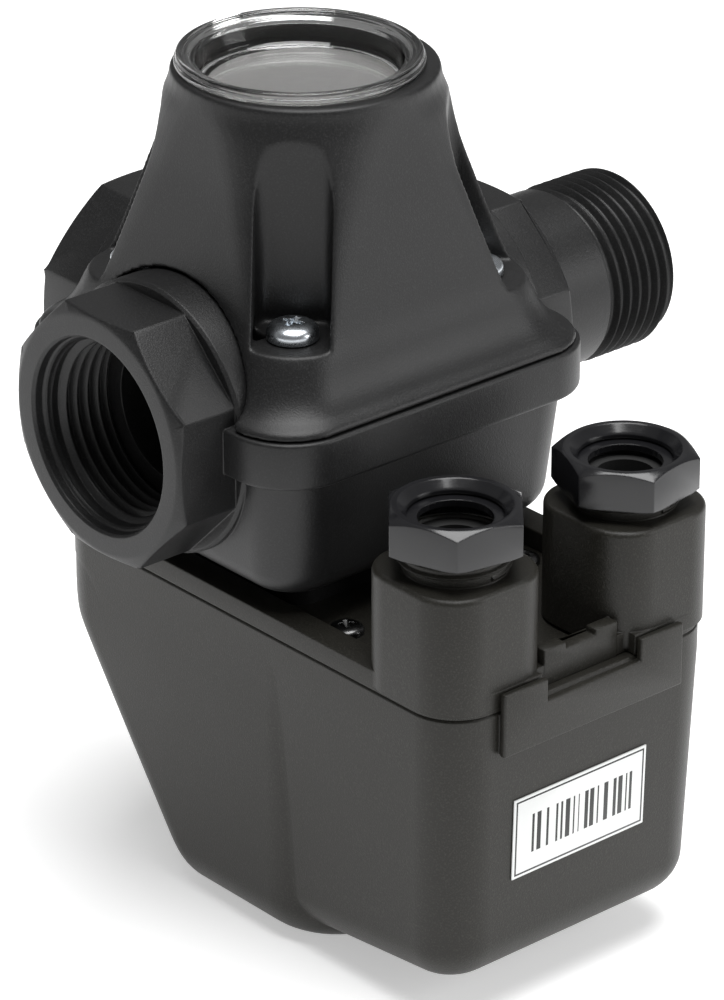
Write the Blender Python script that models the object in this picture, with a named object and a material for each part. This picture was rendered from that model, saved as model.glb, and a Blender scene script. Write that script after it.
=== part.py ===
"""A pump pressure switch: a three-port water body under a cone cover, on a box of electronics.

Everything is placed from the crossing of the port axes. An empty stands at that crossing and
lifts the whole switch so that the middle of the box's standing face is the world's origin.
+Z is up, +X points to the cable glands and +Y along the male port.
"""

import math

import bmesh
import bpy
from mathutils import Matrix

MM = 0.001
GAP = 0.3 * MM
ROUND = 36
THREAD_STEPS = 28
SMALL = 12
CORNER_STEPS = 5

# Box of electronics, measured from the crossing of the port axes
BOX_FRONT = 72.4 * MM
BOX_REAR = 33.4 * MM
BOX_HALF_WIDTH = 31.0 * MM
BOX_CORNER = 9.2 * MM
BOX_WALL = 2.5 * MM
PARTING_DROP = 32.9 * MM
FRONT_DROP = 85.2 * MM
FRONT_FLOOR_SLOPE = 0.1
FRONT_DRAFT = 1.2 * MM
FRONT_EDGE = 8.0 * MM
BELLY_DROP = 92.5 * MM
BELLY_FRONT = 41.0 * MM
BELLY_FRONT_CORNER = 16.0 * MM
BELLY_EDGE = 8.0 * MM
SLANT_START_DROP = 49.3 * MM
SLANT_DEGREES = 54.0
SLANT_FOOT = 12.0 * MM
SLANT_CLEAR = 5.0 * MM
STAND_CENTRE = 18.5 * MM

# Tab that locks the box to its lid
TAB_HALF_WIDTH = 20.5 * MM
TAB_PROUD = 1.7 * MM
TAB_TOP_DROP = 29.3 * MM
TAB_BOTTOM_DROP = 41.0 * MM
TAB_NOTCH_HALF = 10.7 * MM
TAB_NOTCH_DROP = 33.4 * MM
TAB_THICKNESS = 1.5 * MM

# Lid
RIM_HEIGHT = 3.8 * MM
RIM_WIDTH = 5.65 * MM
LID_FLOOR = 2.4 * MM
SPIGOT_DEPTH = 2.6 * MM
SPIGOT_INSET = 4.6 * MM
SPIGOT_WALL = 1.8 * MM
FRONT_WALL_RISE = 6.6 * MM
FRONT_WALL_SETBACK = 1.9 * MM

# Cable glands
GLAND_X = 60.2 * MM
GLAND_Y = 19.35 * MM
BOSS_HALF = 12.16 * MM
BOSS_CORNER = 8.16 * MM
BOSS_TOP_DROP = 10.6 * MM
SPOUT_RADIUS = 9.7 * MM
SPOUT_RISE = 5.3 * MM
SPOUT_BORE = 8.0 * MM
GLAND_PITCH = 1.5 * MM
THREAD_DEPTH = 0.65 * MM
NUT_ACROSS_FLATS = 22.0 * MM
NUT_HEIGHT = 7.0 * MM
NUT_MOUTH = 8.15 * MM
NUT_MOUTH_CHAMFER = 1.5 * MM
NUT_SHOULDER = 2.2 * MM
WASHER_THICKNESS = 1.2 * MM
WASHER_BORE = 6.4 * MM
SEAL_BORE = 5.0 * MM
NEAR_NUT_DROP = 6.2 * MM
FAR_NUT_DROP = 7.9 * MM
NEAR_NUT_TURN = 19.2
FAR_NUT_TURN = 38.3

# Ports
PORT_FLATS_RADIUS = 23.87 * MM
OCTAGON_START = 31.0 * MM
FEMALE_FACE = 46.8 * MM
FEMALE_CHAMFER = 1.1 * MM
FACE_RING_RADIUS = 21.6 * MM
COLLAR_RADIUS = 24.4 * MM
COLLAR_START = 30.0 * MM
COLLAR_END = 34.5 * MM
TUBE_RADIUS = 19.4 * MM
TUBE_START = 7.0 * MM
BORE_START = 5.0 * MM
MALE_OCTAGON_END = 43.3 * MM
MALE_COLLAR_RADIUS = 16.45 * MM
MALE_COLLAR_END = 58.4 * MM
MALE_END = 74.5 * MM
MALE_BORE = 12.5 * MM
THREAD_MAJOR = 16.62 * MM
THREAD_MINOR = 15.15 * MM
THREAD_PITCH = 2.309 * MM
FEMALE_TURNS = 7
MALE_TURNS = 7
FEMALE_COUNTERBORE = 17.3 * MM
FEMALE_COUNTERBORE_DEPTH = 1.6 * MM
PORT_UNALIGN = {"-Y": 3.1, "-X": 5.7, "+Y": 4.3}

# Water body
FLANGE_HALF = 37.2 * MM
FLANGE_CORNER = 12.0 * MM
FLANGE_TOP = 6.1 * MM
FLANGE_BOTTOM = -2.4 * MM
BOWL_TOP_HALF = 34.3 * MM
BOWL_FOOT_HALF = 32.4 * MM
BOWL_CORNER = 10.0 * MM
BOWL_DROP = 26.0 * MM
BOWL_FILLET = 5.0 * MM
NECK_HALF = 22.0 * MM
TURRET_RADIUS = 20.4 * MM
TURRET_TOP = 20.8 * MM
CHAMBER_RADIUS = 16.0 * MM
CHAMBER_DROP = 20.0 * MM

# Cone cover: height above the port axes, half width and corner radius
COVER_SHAPE = (
    (0.3, 36.7, 11.6),
    (1.1, 36.1, 11.4),
    (2.6, 34.4, 11.0),
    (5.0, 32.7, 10.5),
    (8.0, 31.5, 10.2),
    (11.4, 30.6, 10.0),
    (16.0, 29.3, 10.8),
    (22.0, 27.4, 12.0),
    (28.0, 25.9, 14.0),
    (36.0, 24.2, 16.0),
    (44.0, 22.8, 18.5),
    (49.5, 23.1, 23.1),
)
COVER_WALL = 2.6 * MM
COVER_ARCH_RADIUS = 25.0 * MM
ARCH_START = 24.0 * MM
ARCH_END = 60.0 * MM
CHANNEL_HALF = 6.6 * MM
CHANNEL_FLOOR = 17.7 * MM
CHANNEL_BACK = 23.0 * MM
CHANNEL_CORNER = 2.2 * MM
CHANNEL_LEAN = 1.4 / 34.3
CHANNEL_WALL = 1.5 * MM
CHANNEL_REACH = 36.0 * MM
SCREW_POST_LENGTH = 7.0 * MM
SCREW_RUN = 29.6 * MM
SCREW_HEAD_RADIUS = 4.5 * MM
SCREW_HEAD_HEIGHT = 2.9 * MM
SCREW_SHANK_RADIUS = 1.9 * MM

# Clear cap and the disc below it
CAP_RIM_RADIUS = 21.5 * MM
CAP_TOP = 58.2 * MM
CAP_MOUTH = 18.0 * MM
CAP_WALL = 1.4 * MM
CAP_CUP_DEPTH = 5.4 * MM
CAP_FLOOR = 1.3 * MM
DISC_THICKNESS = 1.5 * MM

# Diaphragm, its plate and the storage spring
DIAPHRAGM_BEAD = 1.2 * MM
DIAPHRAGM_THICKNESS = 1.2 * MM
DIAPHRAGM_SAG = 2.2 * MM
PLATE_RADIUS = 12.5 * MM
PLATE_THICKNESS = 2.4 * MM
SPRING_RADIUS = 9.5 * MM
SPRING_WIRE = 0.9 * MM
SPRING_TURNS = 5.5

# Check valve in the male port
SEAT_RADIUS = 9.5 * MM
SEAT_START = 24.0 * MM
SEAT_END = 27.0 * MM
VALVE_POCKET = 15.15 * MM
VALVE_DISC_RADIUS = 12.0 * MM
VALVE_DISC_THICKNESS = 2.0 * MM
VALVE_STEM_RADIUS = 1.9 * MM
VALVE_STEM_END = 59.5 * MM
GUIDE_START = 42.0 * MM
GUIDE_LENGTH = 4.0 * MM
GUIDE_HUB_RADIUS = 4.0 * MM
GUIDE_RIM = 1.6 * MM
SPOKES = 3
VALVE_SPRING_RADIUS = 3.3 * MM
VALVE_SPRING_WIRE = 0.35 * MM
VALVE_SPRING_TURNS = 6.5
CLIP_RADIUS = 4.4 * MM
CLIP_THICKNESS = 1.2 * MM
MAGNET_RADIUS = 3.5 * MM
MAGNET_LENGTH = 6.0 * MM

# Circuit board and what it carries
BOARD_REAR = 28.0 * MM
BOARD_FRONT = 48.0 * MM
BOARD_HALF_WIDTH = 25.5 * MM
BOARD_THICKNESS = 1.6 * MM
BOARD_DROP = 42.0 * MM
POST_RADIUS = 3.2 * MM
POST_SPOTS = ((-24.0, 21.0), (24.0, -22.0))
TRANSFORMER_SIZE = (26.0, 24.0, 22.0)
TRANSFORMER_SPOT = (22.0, 0.0)
RELAY_SIZE = (20.0, 15.0, 12.5)
RELAY_SPOT = (-6.0, 12.0)
CAPACITOR_SIZE = (16.0, 8.0, 11.0)
CAPACITOR_SPOT = (-6.0, -10.0)
TERMINAL_SIZE = (11.0, 30.0, 12.0)
TERMINAL_SPOT = (42.0, 0.0)
TERMINAL_WAYS = 6
SENSOR_RADIUS = 1.4 * MM
SENSOR_LENGTH = 14.0 * MM
SENSOR_SPOT = (0.0, 14.0)

# Control panel on the slanting rear wall
PANEL_RUN = 26.0 * MM
PANEL_BOARD_HALF = 9.0 * MM
PANEL_BOARD_WIDTH = 20.0 * MM
PANEL_BOARD_BEHIND = 7.0 * MM
BUTTON_RADIUS = 5.0 * MM
BUTTON_PROUD = 1.8 * MM
BUTTON_FLANGE = 1.0 * MM
BUTTON_TRAVEL = 1.5 * MM
LIGHT_RADIUS = 2.2 * MM
LIGHT_SPREAD = 7.0 * MM
LIGHT_RUN = 11.0 * MM
BUTTON_SIDE = -9.0 * MM

# Lid and body screws
LID_SCREW_X = 34.0 * MM
LID_SCREW_Y = 20.4 * MM
BODY_SCREW_SPOT = 16.5 * MM
SMALL_SCREW_HEAD = 3.1 * MM
SMALL_SCREW_HEAD_HEIGHT = 1.9 * MM
SMALL_SCREW_SHANK = 1.4 * MM

# Label
LABEL_LEFT = -16.4 * MM
LABEL_RIGHT = 14.2 * MM
LABEL_TOP_DROP = 51.2 * MM
LABEL_BOTTOM_DROP = 66.6 * MM
LABEL_THICKNESS = 0.3 * MM

LID_TOP_DROP = PARTING_DROP - RIM_HEIGHT
FLOOR_TOP_DROP = PARTING_DROP + 0.4 * MM
FLOOR_BOTTOM_DROP = FLOOR_TOP_DROP + LID_FLOOR
SPOUT_TOP = -BOSS_TOP_DROP + SPOUT_RISE
CAP_FLOOR_TOP = CAP_TOP - CAP_CUP_DEPTH
CAP_FLOOR_BOTTOM = CAP_FLOOR_TOP - CAP_FLOOR
DISC_TOP = CAP_FLOOR_BOTTOM - GAP
DISC_BOTTOM = DISC_TOP - DISC_THICKNESS
CLAMP_FOOT = TURRET_TOP + DIAPHRAGM_BEAD + 2.0 * GAP


def finish(name, red, green, blue, roughness, metallic=0.0):
    """A Principled material with one colour, roughness and metallic value."""
    material = bpy.data.materials.new(name)
    material.use_nodes = True
    shader = material.node_tree.nodes["Principled BSDF"]
    shader.inputs["Base Color"].default_value = (red, green, blue, 1.0)
    shader.inputs["Roughness"].default_value = roughness
    shader.inputs["Metallic"].default_value = metallic
    material.diffuse_color = (red, green, blue, 1.0)
    return material


def add_object(name, bm, material, smooth_angle=40.0):
    """Closes a bmesh into a named object that hangs from the crossing of the ports."""
    bmesh.ops.remove_doubles(bm, verts=bm.verts, dist=1e-7)
    bmesh.ops.recalc_face_normals(bm, faces=bm.faces)
    bmesh.ops.triangulate(bm, faces=[face for face in bm.faces if len(face.verts) > 4])
    mesh = bpy.data.meshes.new(name)
    bm.to_mesh(mesh)
    bm.free()
    mesh.shade_smooth()
    mesh.set_sharp_from_angle(angle=math.radians(smooth_angle))
    thing = bpy.data.objects.new(name, mesh)
    bpy.context.scene.collection.objects.link(thing)
    thing.parent = CROSSING
    if material is not None:
        mesh.materials.append(material)
    return thing


def as_cutter(thing):
    """Hides a helper that only takes part in Booleans."""
    thing.hide_render = True
    thing.display_type = "WIRE"
    return thing


def boolean(thing, other, operation):
    """Adds a live Boolean between a thing and a helper."""
    modifier = thing.modifiers.new(other.name, "BOOLEAN")
    modifier.operation = operation
    modifier.solver = "EXACT"
    modifier.object = as_cutter(other)
    return thing


def cut(thing, *others):
    """Takes each helper away from a thing."""
    for other in others:
        boolean(thing, other, "DIFFERENCE")
    return thing


def join(thing, *others):
    """Adds each helper to a thing."""
    for other in others:
        boolean(thing, other, "UNION")
    return thing


def solve_as_manifold(thing):
    """Moves a thing's Booleans to the MANIFOLD solver, where EXACT leaves its surface open."""
    for modifier in thing.modifiers:
        modifier.solver = "MANIFOLD"
    return thing


def arc(centre_x, centre_y, radius, start, end, steps):
    """Points along an arc, in degrees, both ends included."""
    points = []
    for step in range(steps + 1):
        angle = math.radians(start + (end - start) * step / steps)
        points.append((centre_x + radius * math.cos(angle), centre_y + radius * math.sin(angle)))
    return points


def rounded_outline(x_low, x_high, half_y, rear_corner, front_corner=None, steps=CORNER_STEPS):
    """A rectangle with rounded corners, anticlockwise from the front's +Y corner."""
    front = rear_corner if front_corner is None else front_corner
    x_front = x_high - front
    x_rear = x_low + rear_corner
    points = arc(x_front, half_y - front, front, 0, 90, steps)
    points += arc(x_rear, half_y - rear_corner, rear_corner, 90, 180, steps)
    points += arc(x_rear, rear_corner - half_y, rear_corner, 180, 270, steps)
    points += arc(x_front, front - half_y, front, 270, 360, steps)
    return points


def square_outline(half, corner, steps=CORNER_STEPS):
    """A centred square with rounded corners."""
    return rounded_outline(-half, half, half, corner, steps=steps)


def regular_outline(radius, count, turn=0.0):
    """The corners of a regular polygon."""
    return arc(0.0, 0.0, radius, turn, turn + 360.0 - 360.0 / count, count - 1)


def add_loft(bm, rings):
    """Skins closed rings of equally many points and caps both ends."""
    loops = []
    for ring in rings:
        loops.append([bm.verts.new(point) for point in ring])
    count = len(loops[0])
    for low, high in zip(loops, loops[1:]):
        for index in range(count):
            after = (index + 1) % count
            bm.faces.new((low[index], low[after], high[after], high[index]))
    bm.faces.new(loops[0])
    bm.faces.new(loops[-1])


def loft(name, rings, material=None, smooth_angle=40.0):
    """A solid skinned over rings of points."""
    bm = bmesh.new()
    add_loft(bm, rings)
    return add_object(name, bm, material, smooth_angle)


def at_height(outline, height):
    """An outline lifted to a height."""
    return [(x, y, height) for x, y in outline]


def prism(name, outline, low, high, material=None):
    """A straight-sided solid between two heights."""
    return loft(name, (at_height(outline, low), at_height(outline, high)), material)


def block(name, x_span, y_span, z_span, material=None):
    """A rectangular solid."""
    outline = (
        (x_span[1], y_span[1]),
        (x_span[0], y_span[1]),
        (x_span[0], y_span[0]),
        (x_span[1], y_span[0]),
    )
    return prism(name, outline, z_span[0], z_span[1], material)


def turned(name, profile, material=None, steps=ROUND, smooth_angle=40.0):
    """Spins a closed profile of (radius, height) points about the Z axis."""
    bm = bmesh.new()
    points = [bm.verts.new((radius, 0.0, height)) for radius, height in profile]
    edges = []
    for start, end in zip(points, points[1:] + points[:1]):
        on_axis = start.co.x == 0.0 and end.co.x == 0.0
        if not on_axis:
            edges.append(bm.edges.new((start, end)))
    bmesh.ops.spin(
        bm,
        geom=points + edges,
        axis=(0.0, 0.0, 1.0),
        cent=(0.0, 0.0, 0.0),
        steps=steps,
        angle=math.tau,
        use_merge=True,
    )
    return add_object(name, bm, material, smooth_angle)


def ring(name, inner, outer, low, high, material=None, steps=ROUND):
    """A plain ring of rectangular section."""
    profile = ((inner, low), (outer, low), (outer, high), (inner, high))
    return turned(name, profile, material, steps)


def rod(name, radius, low, high, material=None, steps=SMALL):
    """A plain round bar along Z."""
    profile = ((0.0, low), (radius, low), (radius, high), (0.0, high))
    return turned(name, profile, material, steps)


def thread_profile(tip_radius, root_radius, start, pitch, turns):
    """The zigzag of a thread, from its start upwards, one crest and one root a turn."""
    points = []
    for turn in range(turns):
        points.append((root_radius, start + turn * pitch))
        points.append((tip_radius, start + (turn + 0.5) * pitch))
    points.append((root_radius, start + turns * pitch))
    return points


def coil(name, radius, wire, turns, low, high, material, steps=12):
    """A helical spring of round wire between two heights, wire included."""
    curve = bpy.data.curves.new(name, "CURVE")
    curve.dimensions = "3D"
    curve.bevel_depth = wire
    curve.bevel_resolution = 0
    curve.use_fill_caps = True
    count = round(turns * steps) + 1
    spline = curve.splines.new("POLY")
    spline.points.add(count - 1)
    bottom = low + wire
    rise = high - low - 2.0 * wire
    for index in range(count):
        share = index / (count - 1)
        angle = math.tau * turns * share
        spot = (radius * math.cos(angle), radius * math.sin(angle), bottom + rise * share)
        spline.points[index].co = (*spot, 1.0)
    thing = bpy.data.objects.new(name, curve)
    bpy.context.scene.collection.objects.link(thing)
    thing.parent = CROSSING
    curve.materials.append(material)
    return thing


def point_along_y(thing):
    """Turns a thing made along +Z so that it points along +Y."""
    thing.rotation_euler = (-math.pi / 2, 0.0, 0.0)
    return thing


def point_along(thing, direction):
    """Turns a thing made along +Z towards -Y, -X or +Y."""
    turns = {"-Y": math.pi, "-X": math.pi / 2, "+Y": 0.0}
    thing.rotation_euler = (-math.pi / 2, 0.0, turns[direction])
    return thing


def unalign(thing, degrees):
    """Turns a round tool a little about its axis, so that its edges miss those it crosses."""
    thing.data.transform(Matrix.Rotation(math.radians(degrees), 4, "Z"))
    return thing


def screw(name, spot, seat, head, head_height, shank, length, material, upside_down=False):
    """A pan-head screw with a cross recess, its head resting on the seat height."""
    dome = head_height * 0.45
    profile = (
        (0.0, -length),
        (shank * 0.5, -length),
        (shank, -length + shank),
        (shank, 0.0),
        (head, 0.0),
        (head, head_height - dome),
        (head * 0.8, head_height - dome * 0.35),
        (head * 0.45, head_height),
        (0.0, head_height),
    )
    thing = turned(name, profile, material, SMALL)
    slot = head * 0.16
    reach = head * 0.52
    depth = (head_height * 0.45, head_height * 1.2)
    one = block(name + "_slot_a", (-reach, reach), (-slot, slot), depth)
    other = block(name + "_slot_b", (-slot, slot), (-reach, reach), depth)
    cut(thing, join(one, other))
    thing.location = (spot[0], spot[1], seat)
    if upside_down:
        thing.rotation_euler = (math.pi, 0.0, 0.0)
    for helper in (one, other):
        helper.location = thing.location
        helper.rotation_euler = thing.rotation_euler
    return thing


def octagon(name, start, end, chamfer, face_radius):
    """An eight-sided port end with flats above and below and a turned chamfer at its mouth."""
    reach = PORT_FLATS_RADIUS + GAP
    body = prism(name, regular_outline(PORT_FLATS_RADIUS, 8, 22.5), start, end)
    lathe = turned(
        name + "_chamfer",
        (
            (0.0, start - MM),
            (reach, start - MM),
            (reach, end - chamfer),
            (face_radius, end),
            (face_radius, end + MM),
            (0.0, end + MM),
        ),
    )
    return boolean(body, lathe, "INTERSECT")


def female_port(direction):
    """The collar, octagon and inner tube of an open port with an inside thread."""
    tag = direction.strip("+-").lower() + "_port"
    shape = octagon(tag + "_octagon", OCTAGON_START, FEMALE_FACE, FEMALE_CHAMFER, FACE_RING_RADIUS)
    collar = rod(tag + "_collar", COLLAR_RADIUS, COLLAR_START, COLLAR_END, steps=ROUND)
    tube = rod(tag + "_tube", TUBE_RADIUS, TUBE_START, COLLAR_START + MM, steps=ROUND)
    mouth = FEMALE_FACE - FEMALE_COUNTERBORE_DEPTH
    threads = thread_profile(
        THREAD_MINOR, THREAD_MAJOR, mouth - FEMALE_TURNS * THREAD_PITCH, THREAD_PITCH, FEMALE_TURNS
    )
    bore = turned(
        tag + "_bore",
        (
            (0.0, BORE_START),
            (MALE_BORE, BORE_START),
            (MALE_BORE, mouth - FEMALE_TURNS * THREAD_PITCH - MM),
            *threads,
            (FEMALE_COUNTERBORE, mouth),
            (FEMALE_COUNTERBORE + 0.4 * MM, FEMALE_FACE + MM),
            (0.0, FEMALE_FACE + MM),
        ),
        steps=THREAD_STEPS,
    )
    for thing in (collar, tube, bore):
        unalign(thing, PORT_UNALIGN[direction])
    for thing in (shape, collar, tube, bore):
        point_along(thing, direction)
    bpy.data.objects[shape.name + "_chamfer"].rotation_euler = shape.rotation_euler
    return (shape, collar, tube), bore


def male_port():
    """The octagon, plain collar and outside thread of the inlet, and its stepped bore."""
    shape = octagon("inlet_octagon", OCTAGON_START, MALE_OCTAGON_END, FEMALE_CHAMFER, FACE_RING_RADIUS)
    collar = rod("inlet_collar", COLLAR_RADIUS, COLLAR_START, COLLAR_END, steps=ROUND)
    tube = rod("inlet_tube", TUBE_RADIUS, TUBE_START, COLLAR_START + MM, steps=ROUND)
    threads = thread_profile(
        THREAD_MAJOR, THREAD_MINOR, MALE_COLLAR_END, THREAD_PITCH, MALE_TURNS
    )[:-1]
    nipple = turned(
        "inlet_nipple",
        (
            (0.0, MALE_OCTAGON_END - MM),
            (MALE_COLLAR_RADIUS, MALE_OCTAGON_END - MM),
            (MALE_COLLAR_RADIUS, MALE_COLLAR_END - 0.8 * MM),
            *threads,
            (THREAD_MINOR, MALE_END - 0.2 * MM),
            (THREAD_MINOR - 0.4 * MM, MALE_END),
            (0.0, MALE_END),
        ),
        steps=THREAD_STEPS,
    )
    bore = turned(
        "inlet_bore",
        (
            (0.0, BORE_START),
            (VALVE_POCKET, BORE_START),
            (VALVE_POCKET, SEAT_START),
            (SEAT_RADIUS, SEAT_START),
            (SEAT_RADIUS, SEAT_END),
            (MALE_BORE, SEAT_END + MM),
            (MALE_BORE, MALE_END - 1.2 * MM),
            (MALE_BORE + 1.4 * MM, MALE_END + 0.2 * MM),
            (0.0, MALE_END + 0.2 * MM),
        ),
    )
    for thing in (collar, tube, nipple, bore):
        unalign(thing, PORT_UNALIGN["+Y"])
    for thing in (shape, collar, tube, nipple, bore):
        point_along(thing, "+Y")
    bpy.data.objects[shape.name + "_chamfer"].rotation_euler = shape.rotation_euler
    return (shape, collar, tube, nipple), bore


def bowl_rings():
    """The tapering lower body, from its filleted foot up into the flange."""
    rings = []
    for degrees in (0, 30, 60, 90):
        angle = math.radians(degrees)
        half = BOWL_FOOT_HALF - BOWL_FILLET * (1.0 - math.sin(angle))
        corner = max(BOWL_CORNER - BOWL_FILLET * (1.0 - math.sin(angle)), 2.0 * MM)
        height = -BOWL_DROP + BOWL_FILLET * (1.0 - math.cos(angle))
        rings.append(at_height(square_outline(half, corner), height))
    rings.append(at_height(square_outline(BOWL_TOP_HALF, BOWL_CORNER), FLANGE_BOTTOM + MM))
    return rings


def make_hydraulic_body(material):
    """The moulded water body: flange, bowl, neck, turret and three ports in one piece."""
    body = loft("hydraulic_body", bowl_rings(), material)
    flange = prism("flange", square_outline(FLANGE_HALF, FLANGE_CORNER), FLANGE_BOTTOM, FLANGE_TOP)
    neck_low = GAP - FLOOR_TOP_DROP
    neck = prism("neck", square_outline(NECK_HALF, 5.0 * MM), neck_low, -BOWL_DROP + MM)
    turret = rod("turret", TURRET_RADIUS, 0.0, TURRET_TOP, steps=ROUND)
    left_parts, left_bore = female_port("-Y")
    back_parts, back_bore = female_port("-X")
    inlet_parts, inlet_bore = male_port()
    join(body, flange, neck, turret, *left_parts, *back_parts, *inlet_parts)
    chamber = rod("chamber", CHAMBER_RADIUS, -CHAMBER_DROP, TURRET_TOP + MM, steps=ROUND)
    cut(body, chamber, left_bore, back_bore, inlet_bore)
    pilots = []
    for side_x in (-1, 1):
        for side_y in (-1, 1):
            reach = SCREW_RUN / math.sqrt(2.0)
            pilot = rod("cover_pilot", SCREW_SHANK_RADIUS + GAP, -4.0 * MM, FLANGE_TOP + MM)
            pilot.location = (side_x * reach, side_y * reach, 0.0)
            pilots.append(pilot)
            hole = rod("body_pilot", SMALL_SCREW_SHANK + GAP, neck_low - MM, neck_low + 6.5 * MM)
            hole.location = (side_x * BODY_SCREW_SPOT, side_y * BODY_SCREW_SPOT, 0.0)
            pilots.append(hole)
    cut(body, *pilots)
    return solve_as_manifold(body)


def cover_rings(inset, low=None):
    """The cover's outline at each height, square at the foot and round at the top."""
    rings = []
    for height, half, corner in COVER_SHAPE:
        lifted = FLANGE_TOP + height * MM
        outline = square_outline(half * MM - inset, max(corner * MM - inset, 2.0 * MM), steps=6)
        rings.append(at_height(outline, lifted))
    if low is not None:
        rings[0] = at_height([point[:2] for point in rings[0]], low)
    return rings


def channel(name, side_x, side_y, grow, low):
    """The upright slot over one cover screw, open outwards and leaning out as it rises."""
    half = CHANNEL_HALF + grow
    corner = CHANNEL_CORNER + grow
    rings = []
    for height in (low, CAP_TOP):
        back = CHANNEL_BACK - grow + (height - CHANNEL_FLOOR) * CHANNEL_LEAN
        outline = arc(back + corner, half - corner, corner, 90, 180, 4)
        outline += arc(back + corner, corner - half, corner, 180, 270, 4)
        outline += [(back + CHANNEL_REACH, -half), (back + CHANNEL_REACH, half)]
        rings.append(at_height(outline, height))
    thing = loft(name, rings)
    thing.rotation_euler = (0.0, 0.0, math.atan2(side_y, side_x))
    return thing


def make_cone_cover(material):
    """The bell-shaped cover with arches for the ports and a channel over each screw."""
    cover = loft("cone_cover", cover_rings(0.0), material, 30.0)
    hollow = loft("cover_hollow", cover_rings(COVER_WALL, FLANGE_TOP - MM))
    ceiling = block("cover_ceiling", (-1, 1), (-1, 1), (DISC_BOTTOM - COVER_WALL, 1))
    cut(hollow, ceiling)
    arches = []
    for direction in ("-Y", "-X", "+Y"):
        arch = rod("cover_arch" + direction, COVER_ARCH_RADIUS, ARCH_START, ARCH_END, steps=ROUND)
        arches.append(point_along(arch, direction))
    seat = turned(
        "cap_seat",
        (
            (0.0, DISC_BOTTOM - GAP),
            (CAP_MOUTH + CAP_WALL + GAP, DISC_BOTTOM - GAP),
            (CAP_MOUTH + CAP_WALL + GAP, CAP_TOP),
            (0.0, CAP_TOP),
        ),
    )
    housing = ring("spring_housing", CHAMBER_RADIUS + MM, TURRET_RADIUS - 0.6 * MM, CLAMP_FOOT, 1.0)
    cut(hollow, housing)
    spring_way = rod("spring_way", PLATE_RADIUS + MM, 0.0, DISC_BOTTOM - 1.2 * MM, steps=ROUND)
    channels = []
    holes = []
    reach = SCREW_RUN / math.sqrt(2.0)
    for side_x in (-1, 1):
        for side_y in (-1, 1):
            tag = ("f" if side_x > 0 else "r") + ("l" if side_y < 0 else "r")
            channels.append(channel("channel_" + tag, side_x, side_y, 0.0, CHANNEL_FLOOR))
            low = CHANNEL_FLOOR - CHANNEL_WALL
            cut(hollow, channel("channel_wall_" + tag, side_x, side_y, CHANNEL_WALL, low))
            foot = CHANNEL_FLOOR - SCREW_POST_LENGTH
            post = rod("screw_post_" + tag, SCREW_SHANK_RADIUS + CHANNEL_WALL, foot, CHANNEL_FLOOR)
            post.location = (side_x * reach, side_y * reach, 0.0)
            cut(hollow, post)
            hole = rod("screw_hole_" + tag, SCREW_SHANK_RADIUS + GAP, 0.0, CHANNEL_FLOOR + MM)
            hole.location = (side_x * reach, side_y * reach, 0.0)
            holes.append(hole)
    cut(cover, hollow, spring_way, seat, *arches, *channels, *holes)
    return cover


def make_cap(material):
    """The clear cup that snaps into the cover's top, with a stepped rim."""
    wall = CAP_MOUTH + CAP_WALL
    rim_low = FLANGE_TOP + 49.5 * MM + GAP
    return turned(
        "clear_cap",
        (
            (0.0, CAP_FLOOR_BOTTOM),
            (wall, CAP_FLOOR_BOTTOM),
            (wall, rim_low),
            (CAP_RIM_RADIUS + 0.6 * MM, rim_low),
            (CAP_RIM_RADIUS + 0.6 * MM, rim_low + 0.7 * MM),
            (CAP_RIM_RADIUS, rim_low + 0.7 * MM),
            (CAP_RIM_RADIUS, CAP_TOP - 0.4 * MM),
            (CAP_RIM_RADIUS - 0.4 * MM, CAP_TOP),
            (CAP_MOUTH + 1.2 * MM, CAP_TOP),
            (CAP_MOUTH, CAP_TOP - 0.9 * MM),
            (CAP_MOUTH, CAP_FLOOR_TOP),
            (0.0, CAP_FLOOR_TOP),
        ),
        material,
    )


def make_diaphragm(material):
    """The rubber diaphragm: a clamped bead, a rolled convolution and a flat middle."""
    low = TURRET_TOP + GAP
    thick = DIAPHRAGM_THICKNESS
    sag = DIAPHRAGM_SAG
    bead = TURRET_RADIUS - 0.4 * MM
    return turned(
        "diaphragm",
        (
            (0.0, low - sag),
            (PLATE_RADIUS, low - sag),
            (PLATE_RADIUS + 1.6 * MM, low - sag - 0.8 * MM),
            (CHAMBER_RADIUS - 0.4 * MM, low),
            (bead, low),
            (bead, low + DIAPHRAGM_BEAD),
            (CHAMBER_RADIUS - 0.4 * MM, low + DIAPHRAGM_BEAD),
            (PLATE_RADIUS + 1.7 * MM, low - sag + 0.4 * MM),
            (PLATE_RADIUS, low - sag + thick - 0.2 * MM),
            (0.0, low - sag + thick - 0.2 * MM),
        ),
        material,
        ROUND,
    )


def make_diaphragm_plate(material):
    """The stiff dished plate that the spring presses on."""
    low = TURRET_TOP + GAP - DIAPHRAGM_SAG + DIAPHRAGM_THICKNESS
    boss = SPRING_RADIUS - SPRING_WIRE - GAP
    return turned(
        "diaphragm_plate",
        (
            (0.0, low),
            (PLATE_RADIUS, low),
            (PLATE_RADIUS, low + PLATE_THICKNESS),
            (boss, low + PLATE_THICKNESS),
            (boss - MM, low + PLATE_THICKNESS + 2.0 * MM),
            (0.0, low + PLATE_THICKNESS + 2.0 * MM),
        ),
        material,
        36,
    )


def make_storage_spring(material):
    """The spring that loads the diaphragm, between its plate and the cover's ceiling."""
    low = TURRET_TOP + GAP - DIAPHRAGM_SAG + DIAPHRAGM_THICKNESS + PLATE_THICKNESS + GAP
    high = DISC_BOTTOM - 1.2 * MM - GAP
    return coil("storage_spring", SPRING_RADIUS, SPRING_WIRE, SPRING_TURNS, low, high, material)


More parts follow.
